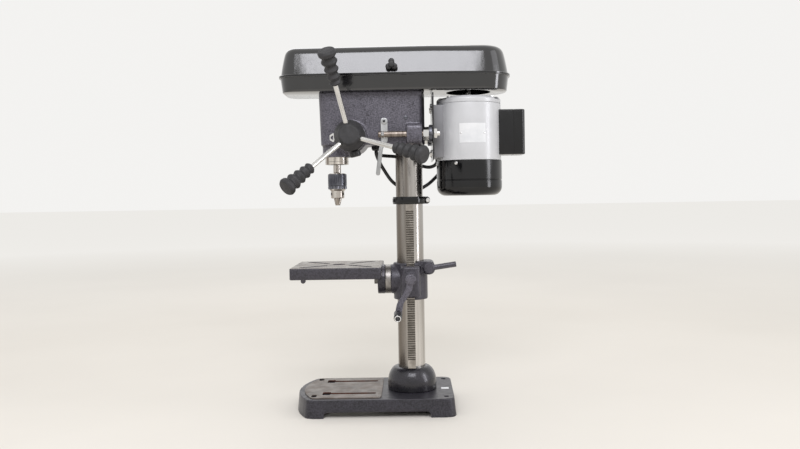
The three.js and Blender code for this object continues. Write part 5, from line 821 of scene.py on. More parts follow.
# Motor: shell, end bell, cowl, capacitor box and the plate that carries it
MOTOR_RADIUS, MOTOR_BOTTOM, MOTOR_TOP = 54.5, 419, 514
MOTOR_WALL, SHAFT_RADIUS = 3, 5.5
MOTOR_INNER, SHAFT_HOLE = MOTOR_RADIUS - MOTOR_WALL, SHAFT_RADIUS + FIT
FOOT_HALF, FOOT_FRONT, FOOT_BOTTOM, FOOT_TOP = 32, 42.3, 424, 512
LABEL_START, LABEL_END, LABEL_LOW, LABEL_HIGH = -20.4, 26.1, 447, 479
COWL_RADIUS, COWL_ROUND, COWL_WALL, COWL_BAND, COWL_SCREW_Z = 55.5, 15, 2, 26, 413.6
CAPACITOR_HALF, CAPACITOR_SEAM = 25, 20
PLATE_HALF, PLATE_BOTTOM, PLATE_TOP, PLATE_FRONT, PLATE_REAR = 62, 420, 530, 39.5, 42


# Faces of the motor's foot, which get the painted shade
def in_foot_shade(place, normal):
    return math.hypot(place.x, place.y - MOTOR_Y) > MOTOR_RADIUS + 0.2 and place.y < MOTOR_Y


def make_shell():
    floor = MOTOR_BOTTOM + 5
    shell = lathe([(SHAFT_HOLE, MOTOR_BOTTOM), (MOTOR_RADIUS, MOTOR_BOTTOM, 0.6),
                   (MOTOR_RADIUS, MOTOR_TOP, 0.6), (MOTOR_INNER, MOTOR_TOP), (MOTOR_INNER, floor),
                   (SHAFT_HOLE, floor)], 128, centre=MOTOR)
    rear = MOTOR_Y + 1.5 - math.sqrt(MOTOR_RADIUS ** 2 - FOOT_HALF ** 2)
    foot = prism(rectangle(-FOOT_HALF, FOOT_HALF, FOOT_FRONT, rear, 1), FOOT_BOTTOM, FOOT_TOP)
    cut(bevel(foot, 1.2, 3), [pin(MOTOR_INNER, FOOT_BOTTOM, 520, centre=MOTOR, steps=128)])
    dressed(together(shell, [foot]), "motor_shell")
    # Painted shade on the foot's faces
    faced(shell, "foot_shade_grey", in_foot_shade)


def make_blank_plate():
    arc = [math.radians(LABEL_START + (LABEL_END - LABEL_START) * k / 16) for k in range(17)]
    outline = [polar(MOTOR_RADIUS + 0.3, t, MOTOR) for t in arc]
    outline += [polar(MOTOR_RADIUS - 0.4, t, MOTOR) for t in reversed(arc)]
    piece(prism(outline, LABEL_LOW, LABEL_HIGH), "motor_blank_plate", "motor", "motor_grey", "plate_grey")
    middle = (0, (LABEL_LOW + LABEL_HIGH) / 2)
    for k, angle in enumerate((LABEL_START + 2.5, LABEL_END - 2.5)):
        rivet = pin(1.3, MOTOR_RADIUS - 1, MOTOR_RADIUS + 0.9, "X", middle, 20, 0.5)
        moved(rivet, pose(MOTOR, math.radians(angle)))
        piece(rivet, f"motor_plate_rivet_{k + 1}", "motor", "motor_grey", "bright_steel")


def make_end_bell():
    low, high = span("motor_end_bell", "Z")
    edge = 3.7
    bell = lathe([(MOTOR_INNER, low), (MOTOR_RADIUS, low, 0.5), (MOTOR_RADIUS, high - edge, 3),
                  (MOTOR_RADIUS - edge, high, 2), (SHAFT_HOLE, high), (SHAFT_HOLE, high - 6),
                  (47.8, high - 3)], 128, centre=MOTOR)
    slots = []
    for k in range(10):
        slot = prism(rectangle(26, 46, -2.5, 2.5, 2.4), low - PAST, high + PAST)
        slots.append(moved(slot, pose(MOTOR, TURN * (k + 0.5) / 10)))
    for angle, width in ((-61, 26), (57, 15), (123, 15), (241, 26)):
        notch = prism(rectangle(44, 60, -width / 2, width / 2, 1), high - 5, high + PAST)
        slots.append(moved(notch, pose(MOTOR, math.radians(angle))))
    dressed(cut(bell, slots), "motor_end_bell")
    for k in range(4):
        screw = hexagon(3.4, high - 1.2, high - 0.02, centre=polar(50, TURN * (k + 0.5) / 4, MOTOR))
        piece(screw, f"end_bell_screw_{k + 1}", "motor", "motor_grey", "bright_steel")


def make_cowl():
    low, high = span("fan_cowl", "Z")
    centre = (COWL_RADIUS - COWL_ROUND, low + COWL_ROUND)
    arc = [-QUARTER + QUARTER * k / 16 for k in range(17)]
    band, groove = low + COWL_BAND, COWL_RADIUS - 0.7
    outside = [(0, low)] + [polar(COWL_ROUND, t, centre) for t in arc]
    outside += [(COWL_RADIUS, band - 1.2), (groove, band - 0.5), (groove, band + 0.5),
                (COWL_RADIUS, band + 1.2), (COWL_RADIUS, high, 0.5), (COWL_RADIUS - COWL_WALL, high)]
    inside = [polar(COWL_ROUND - COWL_WALL, t, centre) for t in reversed(arc)]
    cowl = lathe(outside + inside + [(0, low + COWL_WALL)], 128, centre=MOTOR)
    slots = []
    for k in range(8):
        slot = prism(rectangle(14, 40, -2, 2, 1.9), low - PAST, low + 4)
        slots.append(moved(slot, pose(MOTOR, TURN * k / 8)))
    dressed(cut(cowl, slots), "fan_cowl", "cowl_black")
    for k, (angle, sunk) in enumerate(((-27, 0), (90, 1.2), (270, 0), (180, 0))):
        start = COWL_RADIUS - sunk
        screw = pin(2.7, start - 2.2, start + 1.17, "X", (0, COWL_SCREW_Z), 24, 0.7)
        moved(screw, pose(MOTOR, math.radians(angle)))
        piece(screw, f"cowl_screw_{k + 1}", "motor", "gloss_black", "bright_steel")


def make_capacitor_box():
    low, high = span("capacitor_box")
    half, rear = CAPACITOR_HALF, high.y
    front = MOTOR_Y + math.sqrt(MOTOR_RADIUS ** 2 - half ** 2)
    outline = fillets([(-half, front), (half, front), (half, rear, 7), (-half, rear, 7)], 10)
    box = prism(outline, low.z, high.z)
    seam_y, depth = rear - CAPACITOR_SEAM, 0.8
    seam = prism(rectangle(-half - 5, half + 5, low.z - 2, high.z + 2), seam_y, seam_y + 1, "Y")
    core = rectangle(depth - half, half - depth, low.z + depth, high.z - depth, 1)
    cut(seam, [prism(core, seam_y - PAST, seam_y + 1 + PAST, "Y")])
    hollow = pin(MOTOR_RADIUS + 0.15, low.z - PAST, high.z + PAST, centre=MOTOR, steps=128)
    dressed(cut(bevel(box, 1.6, 4), [hollow, seam]), "capacitor_box")


def make_motor_plate():
    outline = rectangle(-PLATE_HALF, PLATE_HALF, PLATE_BOTTOM, PLATE_TOP, 8, 10)
    plate = bevel(prism(outline, PLATE_FRONT, PLATE_REAR, "Y"), 0.5, 2)
    for side in (-1, 1):
        place = (side * ROD_X, ROD_Z)
        cut(plate, [pin(ROD_RADIUS + 0.3, PLATE_FRONT - PAST, PLATE_REAR + PAST, "Y", place)])
    dressed(plate, "motor_plate")


# Table with its slots and the lug under its front edge
TABLE_TOP = TILT_Z + 26
TABLE_DEPTH, TABLE_WALL, TABLE_PLATE = 19, 6, 9
TABLE_HALF, TABLE_FRONT, TABLE_REAR, TABLE_CORNER = 75, -198, -48, 4
TABLE_CENTRE = (0, (TABLE_REAR + TABLE_FRONT) / 2)
TABLE_LUG_Y, TABLE_LUG_DROP, TABLE_LUG_HALF = TABLE_FRONT + 13, 13, 4
TILT_FLANGE, TILT_BOLT = 25, 6
TILT_HOLE = TILT_BOLT + FIT
TABLE_BOSS_FRONT, TABLE_BOSS_REAR = -56, -43.25


def make_table():
    bottom = TABLE_TOP - TABLE_DEPTH
    body = prism(rectangle(-TABLE_HALF, TABLE_HALF, TABLE_FRONT, TABLE_REAR, TABLE_CORNER), bottom, TABLE_TOP)
    inner = TABLE_HALF - TABLE_WALL
    hollow = rectangle(-inner, inner, TABLE_FRONT + TABLE_WALL, TABLE_REAR - TABLE_WALL, TABLE_CORNER)
    cut(bevel(body, 1.6, 3), [prism(hollow, bottom - PAST, TABLE_TOP - TABLE_PLATE)])
    front, rear = TABLE_LUG_Y - TABLE_LUG_HALF, TABLE_LUG_Y + TABLE_LUG_HALF
    drop = bottom - TABLE_LUG_DROP
    lug = fillets([(front, drop, 3.9), (rear, drop, 3.9), (rear, TABLE_TOP - 1), (front, TABLE_TOP - 1)], 12)
    boss = pin(TILT_FLANGE, TABLE_BOSS_FRONT, TABLE_BOSS_REAR, "Y", TILT, 96, 1)
    together(body, [boss, prism(lug, -TABLE_LUG_HALF, TABLE_LUG_HALF, "X")])
    reach = (bottom - PAST, TABLE_TOP + PAST)
    tools = [pin(TILT_HOLE, -60, 0, "Y", TILT), pin(11, *reach, centre=TABLE_CENTRE, steps=96)]
    for k in range(4):
        slot = prism(rectangle(26, 84, -4.8, 4.8, 4.7), *reach)
        tools.append(moved(slot, pose(TABLE_CENTRE, TURN * (k + 0.5) / 4)))
    dressed(bevel(cut(body, tools), 0.35, 1, 60), "table", "dark_enamel")
    faced(body, "ground_iron", lambda place, normal: normal.z > 0.9 and place.z > TABLE_TOP - 0.5)


# Bracket: barrel, gear case, crank's boss, lock ears and tilt flange
BRACKET_RADIUS, BRACKET_BOTTOM, BRACKET_TOP = 29, TILT_Z - 34, TILT_Z + 28
RACK_ROOM, RACK_ROOM_HALF = 31.15, 6.8
WHEEL_RADIUS, WHEEL_HALF, WHEEL_PIN = 10, 5, 3
WORM_ROOM, CRANK_SHAFT, STUD_RADIUS = 8, 5, 4
CRANK = (0, TILT_Z + 6)
WHEEL = (38.65, TILT_Z - 9.25)
LOCK = (31, TILT_Z + 20)
EAR_FRONT, EAR_REAR, EAR_BOTTOM, EAR_TOP = 12, 41, TILT_Z + 9, TILT_Z + 31


def make_bracket():
    body = pin(BRACKET_RADIUS, BRACKET_BOTTOM, BRACKET_TOP, steps=96)
    case = prism(fillets([(0, -16), (54, -16, 7), (54, 16, 7), (0, 16)], 10), TILT_Z - 27, TILT_Z + 24.5)
    ears = fillets([(EAR_FRONT, EAR_BOTTOM), (EAR_REAR, EAR_BOTTOM, 7.7), (EAR_REAR, EAR_TOP, 7.7),
                    (EAR_FRONT, EAR_TOP)], 10)
    boss, flange = pin(9, 29, 54.6, "X", CRANK, 48), pin(TILT_FLANGE, -33, -12, "Y", TILT, 96)
    cast(together(body, [bevel(case, 3, 3), boss, prism(ears, -22, 26, "X"), flange]), 1.0)
    # Column, tilt bolt, rack, wheel and its pin, worm and its shaft, the clamp's slit and stud
    reach = (BRACKET_BOTTOM - 2, BRACKET_TOP + 5)
    tools = [
        pin(COLUMN_RADIUS + 2 * FIT, *reach, steps=96),
        pin(TILT_HOLE, -35, 0, "Y", TILT),
        prism(rectangle(0, RACK_ROOM, -RACK_ROOM_HALF, RACK_ROOM_HALF), *reach),
        pin(WHEEL_RADIUS + FIT, -WHEEL_HALF - FIT, WHEEL_HALF + FIT, "Y", WHEEL, 64),
        pin(WHEEL_PIN + FIT, -17, 17, "Y", WHEEL),
        pin(WORM_ROOM, 23, 47, "X", CRANK),
        pin(CRANK_SHAFT + FIT, 46, 56, "X", CRANK),
        prism(rectangle(-1, 1, 0, 42), *reach),
        pin(STUD_RADIUS + FIT, -23, 27, "X", LOCK),
    ]
    dressed(cut(body, tools), "table_bracket", "table_iron")
    front, rear = span("tilt_ring", "Y")
    ring = tube_ring(TILT_HOLE, TILT_FLANGE - 0.3, front, rear, "Y", TILT, 96, 0.6)
    dressed(ring, "tilt_ring", "tilt_ring")


# Crank with its loose grip
CRANK_EYE = (-21, TILT_Z - 49)
CRANK_ELBOW, CRANK_WRIST = TILT_Z - 10.5, TILT_Z - 32
WORM_START, WORM_END, WORM_RADIUS = 33.5, 46.5, 5.1
HUB_START, HUB_RADIUS = 54.85, 9
ARM_START, ARM_END = 82, 88
GRIP_PIN_RADIUS, GRIP_PIN_END = 3, 136.5


def make_crank():
    shaft = lathe([(0, WORM_START), (WORM_RADIUS, WORM_START, 0.5), (WORM_RADIUS, WORM_END, 0.5),
                   (CRANK_SHAFT, WORM_END), (CRANK_SHAFT, HUB_START), (HUB_RADIUS, HUB_START, 1),
                   (HUB_RADIUS, ARM_END, 1.5), (0, ARM_END)], 64, "X", CRANK)
    y, z = CRANK_EYE
    half = 5.5
    arm = fillets([(-half, CRANK[1]), (-9, CRANK_ELBOW, 22), (-23, CRANK_WRIST, 22), (y - half, z),
                   (y + half, z), (-12, CRANK_WRIST, 11), (2, CRANK_ELBOW, 11), (half, CRANK[1])], 12)
    arm = bevel(prism(arm, ARM_START, ARM_END, "X"), 1.2, 3)
    eye = pin(6.9, ARM_START, ARM_END, "X", CRANK_EYE, 48, 1.2)
    together(shaft, [arm, eye, hexagon(7.4, ARM_END - 0.5, ARM_END + 3, "X", CRANK)])
    head_radius, end = 3.8, GRIP_PIN_END
    head = pin(head_radius, end, end + 1.9, "X", CRANK_EYE, 40, 0.3)
    slot = prism(rectangle(y - 6, y + 6, z - 0.5, z + 0.5), end + 1.2, end + 3.5, "X")
    piece(cut(head, [slot]), "crank_grip_screw", "crank", "table_iron", "scale_dark")
    washer = tube_ring(head_radius, 5.2, end, end + 2.3, "X", CRANK_EYE, 40, 0.4)
    piece(washer, "crank_grip_washer", "crank", "table_iron", "bright_steel")
    together(shaft, [pin(GRIP_PIN_RADIUS, ARM_END - 1, end, "X", CRANK_EYE, 32)])
    dressed(shaft, "crank", "hammertone_iron")
    start, end = span("crank_grip", "X")
    bore, radius = GRIP_PIN_RADIUS + FIT, 6.5
    grip = [(bore, start), (5, start, 0.6), (radius, start + 4, 2), (radius, end - 6, 3), (4.6, end, 1.2),
            (bore, end)]
    dressed(lathe(grip, 64, "X", CRANK_EYE), "crank_grip")


# Lock lever with its stud and nut, and the tilt bolt
STUD_START, STUD_END = -28.3, 27
LOCK_START, LOCK_END, LOCK_RADIUS = 26.25, 38.25, 10.5
LOCK_ROD_RADIUS, LOCK_ROD_LENGTH, LOCK_ROD_LEAN = 4.7, 46, math.radians(8)


def make_lock():
    slope = 2.25
    hub = lathe([(0, LOCK_START), (LOCK_RADIUS - 2, LOCK_START, 1), (LOCK_RADIUS, LOCK_START + slope, 1.5),
                 (LOCK_RADIUS, LOCK_END - slope, 2), (LOCK_RADIUS - 2.5, LOCK_END, 1.5), (0, LOCK_END)],
                64, "X", LOCK)
    rod = lathe([(0, 0), (LOCK_ROD_RADIUS, 0), (LOCK_ROD_RADIUS, LOCK_ROD_LENGTH, 1),
                 (0, LOCK_ROD_LENGTH)], 48)
    moved(rod, pose(((LOCK_START + LOCK_END) / 2, *LOCK), LOCK_ROD_LEAN - QUARTER, "X"))
    stud = pin(STUD_RADIUS, STUD_START, STUD_END, "X", LOCK, 40, 0.6)
    together(hub, [rod, stud, hexagon(7.5, STUD_START, STUD_START + 6, "X", LOCK)])
    dressed(bevel(hub, 0.3, 1, 50), "lock_lever", "table_iron")
    front, rear = span("tilt_bolt", "Y")
    bolt = hexagon(9, front, front + 6, "Y", TILT)
    dressed(together(bolt, [pin(TILT_BOLT, front + 5, rear, "Y", TILT, 48)]), "tilt_bolt")


# Quill with its rack, bearings and splined spindle
BEARING_RADIUS, BEARING_LENGTH = 16, 10
RACK_TEETH, RACK_PITCH, RACK_SLOPE, RACK_LINE = 17, math.pi * 1.25, math.tan(math.radians(20)), 18.6
TOOTH_ROOT, TOOTH_TIP = 1.375, 1
QUILL_BORE, BEARING_BORE = 12, 6
SPLINE_START, SPLINE_REACH, SPLINE_HALF = 515.2, 8.3, 1.6
NECK_RADIUS, NECK_START, SPINDLE_RADIUS, SPINDLE_TOP_RADIUS = 6.6, 402.6, 5.75, 7
TAPER_BOTTOM, TAPER_SMALL, TAPER_WIDE = 388, 5, 5.4


def make_quill():
    low, high = span("quill", "Z")
    quill = tube_ring(QUILL_BORE, QUILL_RADIUS, low, high, centre=SPINDLE, steps=128, edge=0.8)
    seat = BEARING_LENGTH + 0.3
    tools = [pin(BEARING_RADIUS + 0.15, start, end, centre=SPINDLE, steps=64)
             for start, end in ((low - PAST, low + seat), (high - seat, high + PAST))]
    half = (RACK_PITCH - 0.5) / 4
    teeth = []
    for k in range(RACK_TEETH):
        z = FEED[1] + (k - 2) * RACK_PITCH
        root, tip = half + RACK_SLOPE * TOOTH_ROOT, half - RACK_SLOPE * TOOTH_TIP
        teeth += [(RACK_LINE - TOOTH_ROOT, z - root), (RACK_LINE + TOOTH_TIP, z - tip),
                  (RACK_LINE + TOOTH_TIP, z + tip), (RACK_LINE - TOOTH_ROOT, z + root)]
    outside = QUILL_RADIUS + PAST
    trough = [(SPINDLE_Y + u, z) for u, z in [(outside, teeth[0][1])] + teeth + [(outside, teeth[-1][1])]]
    dressed(cut(quill, tools + [prism(trough, -12.3, 12.3, "X")]), "quill", "turned_steel")
    groove = tube_ring(QUILL_RADIUS - 0.3, QUILL_RADIUS + 0.02, low + 4.5, low + 5.1, "Z", SPINDLE, 96)
    piece(groove, "quill_groove", BODY["quill"], "bright_steel", "gear_steel")
    face = tube_ring(7.2, 15.6, low - 0.05, low + 1, centre=SPINDLE, steps=64, edge=0.1)
    piece(face, "bearing_shield", BODY["quill"], "black_plastic")
    for node in ("lower_bearing", "upper_bearing"):
        low, high = span(node, "Z")
        race = tube_ring(BEARING_BORE, BEARING_RADIUS, low, high, centre=SPINDLE, steps=64, edge=0.4)
        cut(race, [tube_ring(9, 13, z - 0.8, z + 0.8, centre=SPINDLE, steps=64) for z in (low, high)])
        dressed(race, node)


def splines(half_length, half_width, low, high, radius=0):
    bars = [prism(rectangle(-half_length, half_length, -half_width, half_width, radius), low, high)
            for _ in range(3)]
    return [moved(bar, pose(SPINDLE, TURN * k / 6)) for k, bar in enumerate(bars)]


def make_spindle():
    top = span("spindle", "Z")[1]
    neck_end, shoulder = 415, 515
    neck = lathe([(0, TAPER_BOTTOM), (TAPER_SMALL, TAPER_BOTTOM), (TAPER_WIDE, CHUCK_TOP),
                  (TAPER_WIDE, CHUCK_TOP + 0.4), (NECK_RADIUS, NECK_START), (NECK_RADIUS, neck_end),
                  (SPINDLE_RADIUS, neck_end), (SPINDLE_RADIUS, shoulder + 1), (0, shoulder + 1)],
                 64, centre=SPINDLE)
    upper = pin(SPINDLE_TOP_RADIUS, shoulder, top, centre=SPINDLE, edge=0.3)
    together(neck, [upper] + splines(SPLINE_REACH, SPLINE_HALF, SPLINE_START, top - 0.3, 0.2))
    dressed(neck, "spindle", "turned_steel")


# Chuck: body, three jaws that lean inwards, and the toothed sleeve
CHUCK_BOTTOM, CHUCK_SHOULDER, CHUCK_TOP = 358.5, 374, 401
JAW_RADIUS, JAW_LENGTH, JAW_BOTTOM, JAW_GAP = 3, 22, 346.5, 0.15
KEY_HOLE, KEY_HOLE_RADIUS = (0, 366), 2.6
JAW_LEAN = pose((1.2, 0, JAW_BOTTOM), math.radians(15), "Y")
SLEEVE_INNER, SLEEVE_ROOT, SLEEVE_RADIUS = 14.65, 15, 16
SLEEVE_TEETH, SLEEVE_FLUTES = 16, 32


def make_chuck():
    nose, radius = 11.5, 14.4
    body = lathe([(0, CHUCK_BOTTOM), (nose - 1, CHUCK_BOTTOM, 0.4), (nose, CHUCK_BOTTOM + 1.4, 0.8),
                  (nose, CHUCK_SHOULDER - 2.9, 1.5), (radius, CHUCK_SHOULDER, 0.4), (radius, CHUCK_TOP, 0.5),
                  (0, CHUCK_TOP)], 96, centre=SPINDLE)
    taper, high, fit = TAPER_BOTTOM - 0.3, CHUCK_TOP + PAST, 0.3
    socket = [(0, taper), (TAPER_SMALL + fit, taper), (TAPER_WIDE + fit, high), (0, high)]
    tools = [lathe(socket, 48, centre=SPINDLE)]
    for k in range(3):
        turn = pose(SPINDLE, TURN * k / 3)
        tools.append(moved(pin(JAW_RADIUS + FIT, -3, 40, steps=40), turn @ JAW_LEAN))
        key = pin(KEY_HOLE_RADIUS, 7.5, 16, "X", KEY_HOLE, 32)
        tools.append(moved(key, turn @ Matrix.Rotation(math.pi, 4, "Z")))
    dressed(cut(body, tools), "chuck_body", "turned_steel")
    edge, reach = JAW_GAP / math.sin(TURN / 6), 43
    side = reach * math.sin(TURN / 6)
    rod = [(0, -1.8), (JAW_RADIUS, -1.8), (JAW_RADIUS, JAW_LENGTH, 0.3), (0, JAW_LENGTH)]
    wedge = [(edge, 0), (edge + reach / 2, -side), (edge + reach / 2, side)]
    for k in range(3):
        jaw = moved(lathe(rod, 48), JAW_LEAN)
        together(jaw, [prism(wedge, JAW_BOTTOM, CHUCK_TOP)], "INTERSECT")
        dressed(moved(jaw, pose(SPINDLE, TURN * k / 3)), f"jaw_{k + 1}", "turned_steel")


def make_sleeve():
    low, high = span("chuck_sleeve", "Z")
    shoulder = low + 5
    sleeve = lathe([(SLEEVE_INNER, shoulder - 0.5), (SLEEVE_ROOT, shoulder - 0.5), (SLEEVE_ROOT, shoulder),
                    (SLEEVE_RADIUS, shoulder + 1), (SLEEVE_RADIUS, high, 1), (SLEEVE_INNER, high)],
                   128, centre=SPINDLE)
    radii = SLEEVE_TEETH * [SLEEVE_RADIUS, SLEEVE_RADIUS, SLEEVE_ROOT, SLEEVE_ROOT]
    outline = [polar(radius, TURN * (k + 0.5) / len(radii), SPINDLE) for k, radius in enumerate(radii)]
    teeth = prism(outline, low, shoulder)
    cut(teeth, [pin(SLEEVE_INNER, low - PAST, shoulder + PAST, centre=SPINDLE, steps=96)])
    together(sleeve, [teeth])
    places = [polar(SLEEVE_RADIUS, TURN * k / SLEEVE_FLUTES, SPINDLE) for k in range(SLEEVE_FLUTES)]
    flutes = [pin(0.42, shoulder + 4.5, high - 3, centre=place, steps=10) for place in places]
    dressed(cut(sleeve, [joined(flutes)]), "chuck_sleeve")


# Feed: hub and three handles
SPOKE_ROOT, SPOKE_LEAN, SPOKE_FIRST = 80, math.radians(33.8), math.radians(12.4)
SPOKE_START, SPOKE_END, SPOKE_RADIUS = 12.5, 132, 4
GRIP_START, GRIP_LENGTH, GRIP_RADIUS = 93, 58.4, 14.5
GRIP_SHARES = [(0.5, 0, 0.5), (0.66, 0.05, 1.5), (0.48, 0.13, 2), (0.74, 0.23, 2.4), (0.52, 0.33, 2),
               (0.82, 0.44, 2.6), (0.58, 0.54, 2.4), (0.92, 0.66, 3), (0.66, 0.77, 2.4), (0.96, 0.85, 2),
               (1, 0.93, 2), (0.84, 0.99, 1.6)]


def feed_place(k):
    turn = pose((0, *FEED), SPOKE_FIRST + TURN * k / 3, "X")
    return turn @ pose((SPOKE_ROOT, 0, 0), SPOKE_LEAN, "Y")


def make_hub():
    hub = lathe([(0, 42.4), (14, 42.4), (14, 57.3), (21, 57.3, 0.6), (21, 68, 2), (20.5, 71, 2), (19, 84, 6),
                 (17.5, 97, 2), (14.5, 100, 2), (0, 100)], 96, "X", FEED, 6)
    tools = [pin(PINION_HOLE, 41, 94.3, "X", FEED)]
    for k in range(3):
        tools.append(moved(pin(SPOKE_RADIUS + FIT, SPOKE_START - 0.3, 48, steps=40), feed_place(k)))
    dressed(cut(hub, tools), "feed_hub")


def make_handles():
    end, fit = GRIP_START + GRIP_LENGTH, 0.3
    grip = [(SPOKE_RADIUS + fit, GRIP_START)]
    for radius, share, fillet in GRIP_SHARES:
        grip.append((GRIP_RADIUS * radius, GRIP_START + GRIP_LENGTH * share, fillet))
    grip += [(GRIP_RADIUS * 0.5, end - 0.6, 3), (0, end), (0, SPOKE_END + fit),
             (SPOKE_RADIUS + fit, SPOKE_END + fit)]
    spoke = [(0, SPOKE_START), (SPOKE_RADIUS, SPOKE_START), (SPOKE_RADIUS, SPOKE_END, 1), (0, SPOKE_END)]
    for k in range(3):
        dressed(moved(lathe(spoke, 48), feed_place(k)), f"spoke_{k + 1}", "bright_steel")
        dressed(moved(lathe(grip, 64, arc=6), feed_place(k)), f"grip_{k + 1}")


# Depth ring with its scale and lock knob, the pointer, and the return spring's cap
DEPTH_RADIUS, DEPTH_HOLE, KNOB_STUD = 24.5, 14 + FIT, 2.5
KNOB_PLACE = pose((52.2, *FEED), math.radians(193.8), "X")
TICKS, TICK_FIRST, TICK_STEP, TICK_HALF = 51, -110, 4.4, 0.22


def tick_length(k):
    if k % 10 == 0:
        return 3.6
    return 2.6 if k % 5 == 0 else 1.7


def make_depth_ring():
    start, end = span("depth_ring", "X")
    edge = 1.2
    ring = lathe([(DEPTH_HOLE, start), (DEPTH_RADIUS, start, edge), (DEPTH_RADIUS, end, edge),
                  (DEPTH_HOLE, end)], 128, "X", FEED)
    cut(ring, [moved(pin(KNOB_STUD + FIT, 0, 30, steps=32), KNOB_PLACE)])
    dressed(ring, "depth_ring", "scale_dark")
    ticks = []
    near = start + edge
    for k in range(TICKS):
        outline = rectangle(near, near + tick_length(k), -TICK_HALF, TICK_HALF)
        tick = prism(outline, DEPTH_RADIUS - 0.05, DEPTH_RADIUS + 0.12)
        ticks.append(moved(tick, pose((0, *FEED), math.radians(TICK_FIRST + TICK_STEP * k), "X")))
    piece(joined(ticks), "depth_scale", BODY["depth_ring"], "cast_zinc", "label_white")


def make_depth_knob():
    radius, start, bottom, top = 9, 14.6, 24.8, 33.8
    knob = lathe([(0, start), (KNOB_STUD, start), (KNOB_STUD, bottom), (radius - 1, bottom, 0.6),
                  (radius, 26, 1), (radius, 33, 1), (7.6, top, 0.6), (0, top)], 64)
    flutes = [pin(1.1, 24, 35, centre=polar(9.6, TURN * k / 12), steps=16) for k in range(12)]
    dressed(moved(cut(knob, [joined(flutes)]), KNOB_PLACE), "depth_lock_knob")


def arrow(root, neck, tip, middle, root_half, neck_half, radius, steps):
    """A pointer's outline: narrow at its root, wider at its neck, with a tip or a flat end."""
    lower = [(root, middle - root_half, radius), (neck, middle - neck_half, radius)]
    upper = [(neck, middle + neck_half, radius), (root, middle + root_half, radius)]
    return fillets(lower + ([] if tip is None else [(tip, middle)]) + upper, steps)


def make_pointer():
    low, high = span("depth_pointer")
    middle, half = (low.z + high.z) / 2, (high.z - low.z) / 2
    neck = low.y + 0.7 * (high.y - low.y)
    blade = prism(arrow(low.y, neck, high.y, middle, half / 2, half, 1, 6), low.x, high.x, "X")
    window = arrow(low.y + 1.6, neck - 0.6, None, middle, half / 5, half / 2, 0.4, 4)
    cut(blade, [prism(window, low.x - PAST, high.x + PAST, "X")])
    dressed(blade, "depth_pointer", "bright_steel")


def make_spring_cap():
    low, high = span("spring_cap", "X")
    radius, bore, wall = 25, 6.3, 2.2
    cap = lathe([(bore, low), (radius, low, 3), (radius, high, 0.6), (radius - wall, high),
                 (radius - wall, low + wall, 2), (bore, low + wall)], 96, "X", FEED)
    dressed(cap, "spring_cap")
    for k in range(2):
        screw = pin(2.2, low - 0.6, low + 0.2, "X", polar(17, TURN * k / 2 + 0.6, FEED), 24, 0.2)
        piece(screw, f"spring_cap_screw_{k + 1}", "frame", "black_iron", "bright_steel")


# Slide rods, tension lever and the bolts of the motor's plate
WASHER_START, WASHER_END = 34, 39.2
LEVER_END = (-52, 395.5)
LEVER_X, LEVER_THICK, LEVER_HEAD = 40.4, 3, 5.5
LEVER_WIDE, LEVER_NARROW, LEVER_WAIST = 5.7, 3.5, 11.4
BOLT_X, BOLT_TOP, BOLT_BOTTOM = 24, 508, 432


def lever_y(z):
    share = (LEVER_PIVOT[1] - z) / (LEVER_PIVOT[1] - LEVER_END[1])
    return LEVER_PIVOT[0] + (LEVER_END[0] - LEVER_PIVOT[0]) * share


def make_rods():
    for side, node in ((1, "slide_rod_near"), (-1, "slide_rod_far")):
        x, y = side * ROD_X, lever_y(ROD_Z)
        centre = (x, ROD_Z)
        rod = pin(ROD_RADIUS, -50, 52, "Y", centre, 64, 0.8)
        together(rod, [
            hexagon(11, ROD_NUT, WASHER_START - 0.6, "Y", centre, 0.5),
            tube_ring(3, 14.4, WASHER_START, WASHER_END, "Y", centre, 64, 0.6),
            tube_ring(3, 12, WASHER_START - 0.8, WASHER_START + 0.2, "Y", centre, 64, 0.3),
            hexagon(8.8, PLATE_REAR + 0.3, PLATE_REAR + 5.3, "Y", centre),
        ])
        slot = prism(rectangle(y - 2.7, y + 2.7, ROD_Z - 3, ROD_Z + 4), x - 6, x + 6, "X")
        dressed(cut(rod, [slot]), node)
        faced(rod, "dull_rod", lambda place, normal: place.y < ROD_NUT)
        faced(rod, "blued_steel", lambda place, normal: WASHER_START - 0.5 < place.y < WASHER_END + 0.8)


def lever_edge(side):
    y, z = LEVER_PIVOT
    waist = (z + LEVER_END[1]) / 2
    return [(y + side * LEVER_WIDE, z + 5.5, 4.6), (y + side * LEVER_WIDE, waist + LEVER_WAIST, 12),
            (lever_y(waist) + side * LEVER_NARROW, waist, 12),
            (LEVER_END[0] + side * LEVER_NARROW, LEVER_END[1], 3.4)]


def make_lever():
    outside = LEVER_X + LEVER_THICK
    strip = prism(fillets(lever_edge(-1) + lever_edge(1)[::-1], 10), LEVER_X, outside, "X")
    together(bevel(strip, 0.5, 2), [
        hexagon(LEVER_HEAD, outside - 0.1, outside + 2.6, "X", LEVER_PIVOT, 0.5),
        pin(PIVOT_RADIUS, HEAD_HALF - 7, HEAD_HALF + 3, "X", LEVER_PIVOT),
        pin(LEVER_HEAD, HEAD_HALF + FIT, LEVER_X + FIT, "X", LEVER_PIVOT, 40, 0.3),
        pin(2, 42, ROD_X, "X", (lever_y(ROD_Z), ROD_Z), 32),
    ])
    dressed(strip, "tension_lever", "pulley_aluminium")
    rivet = pin(2.2, outside + 2.1, outside + 2.9, "X", LEVER_PIVOT, 24, 0.3)
    piece(rivet, "lever_rivet", "tension_lever", SLOT["tension_lever"], "scale_dark")


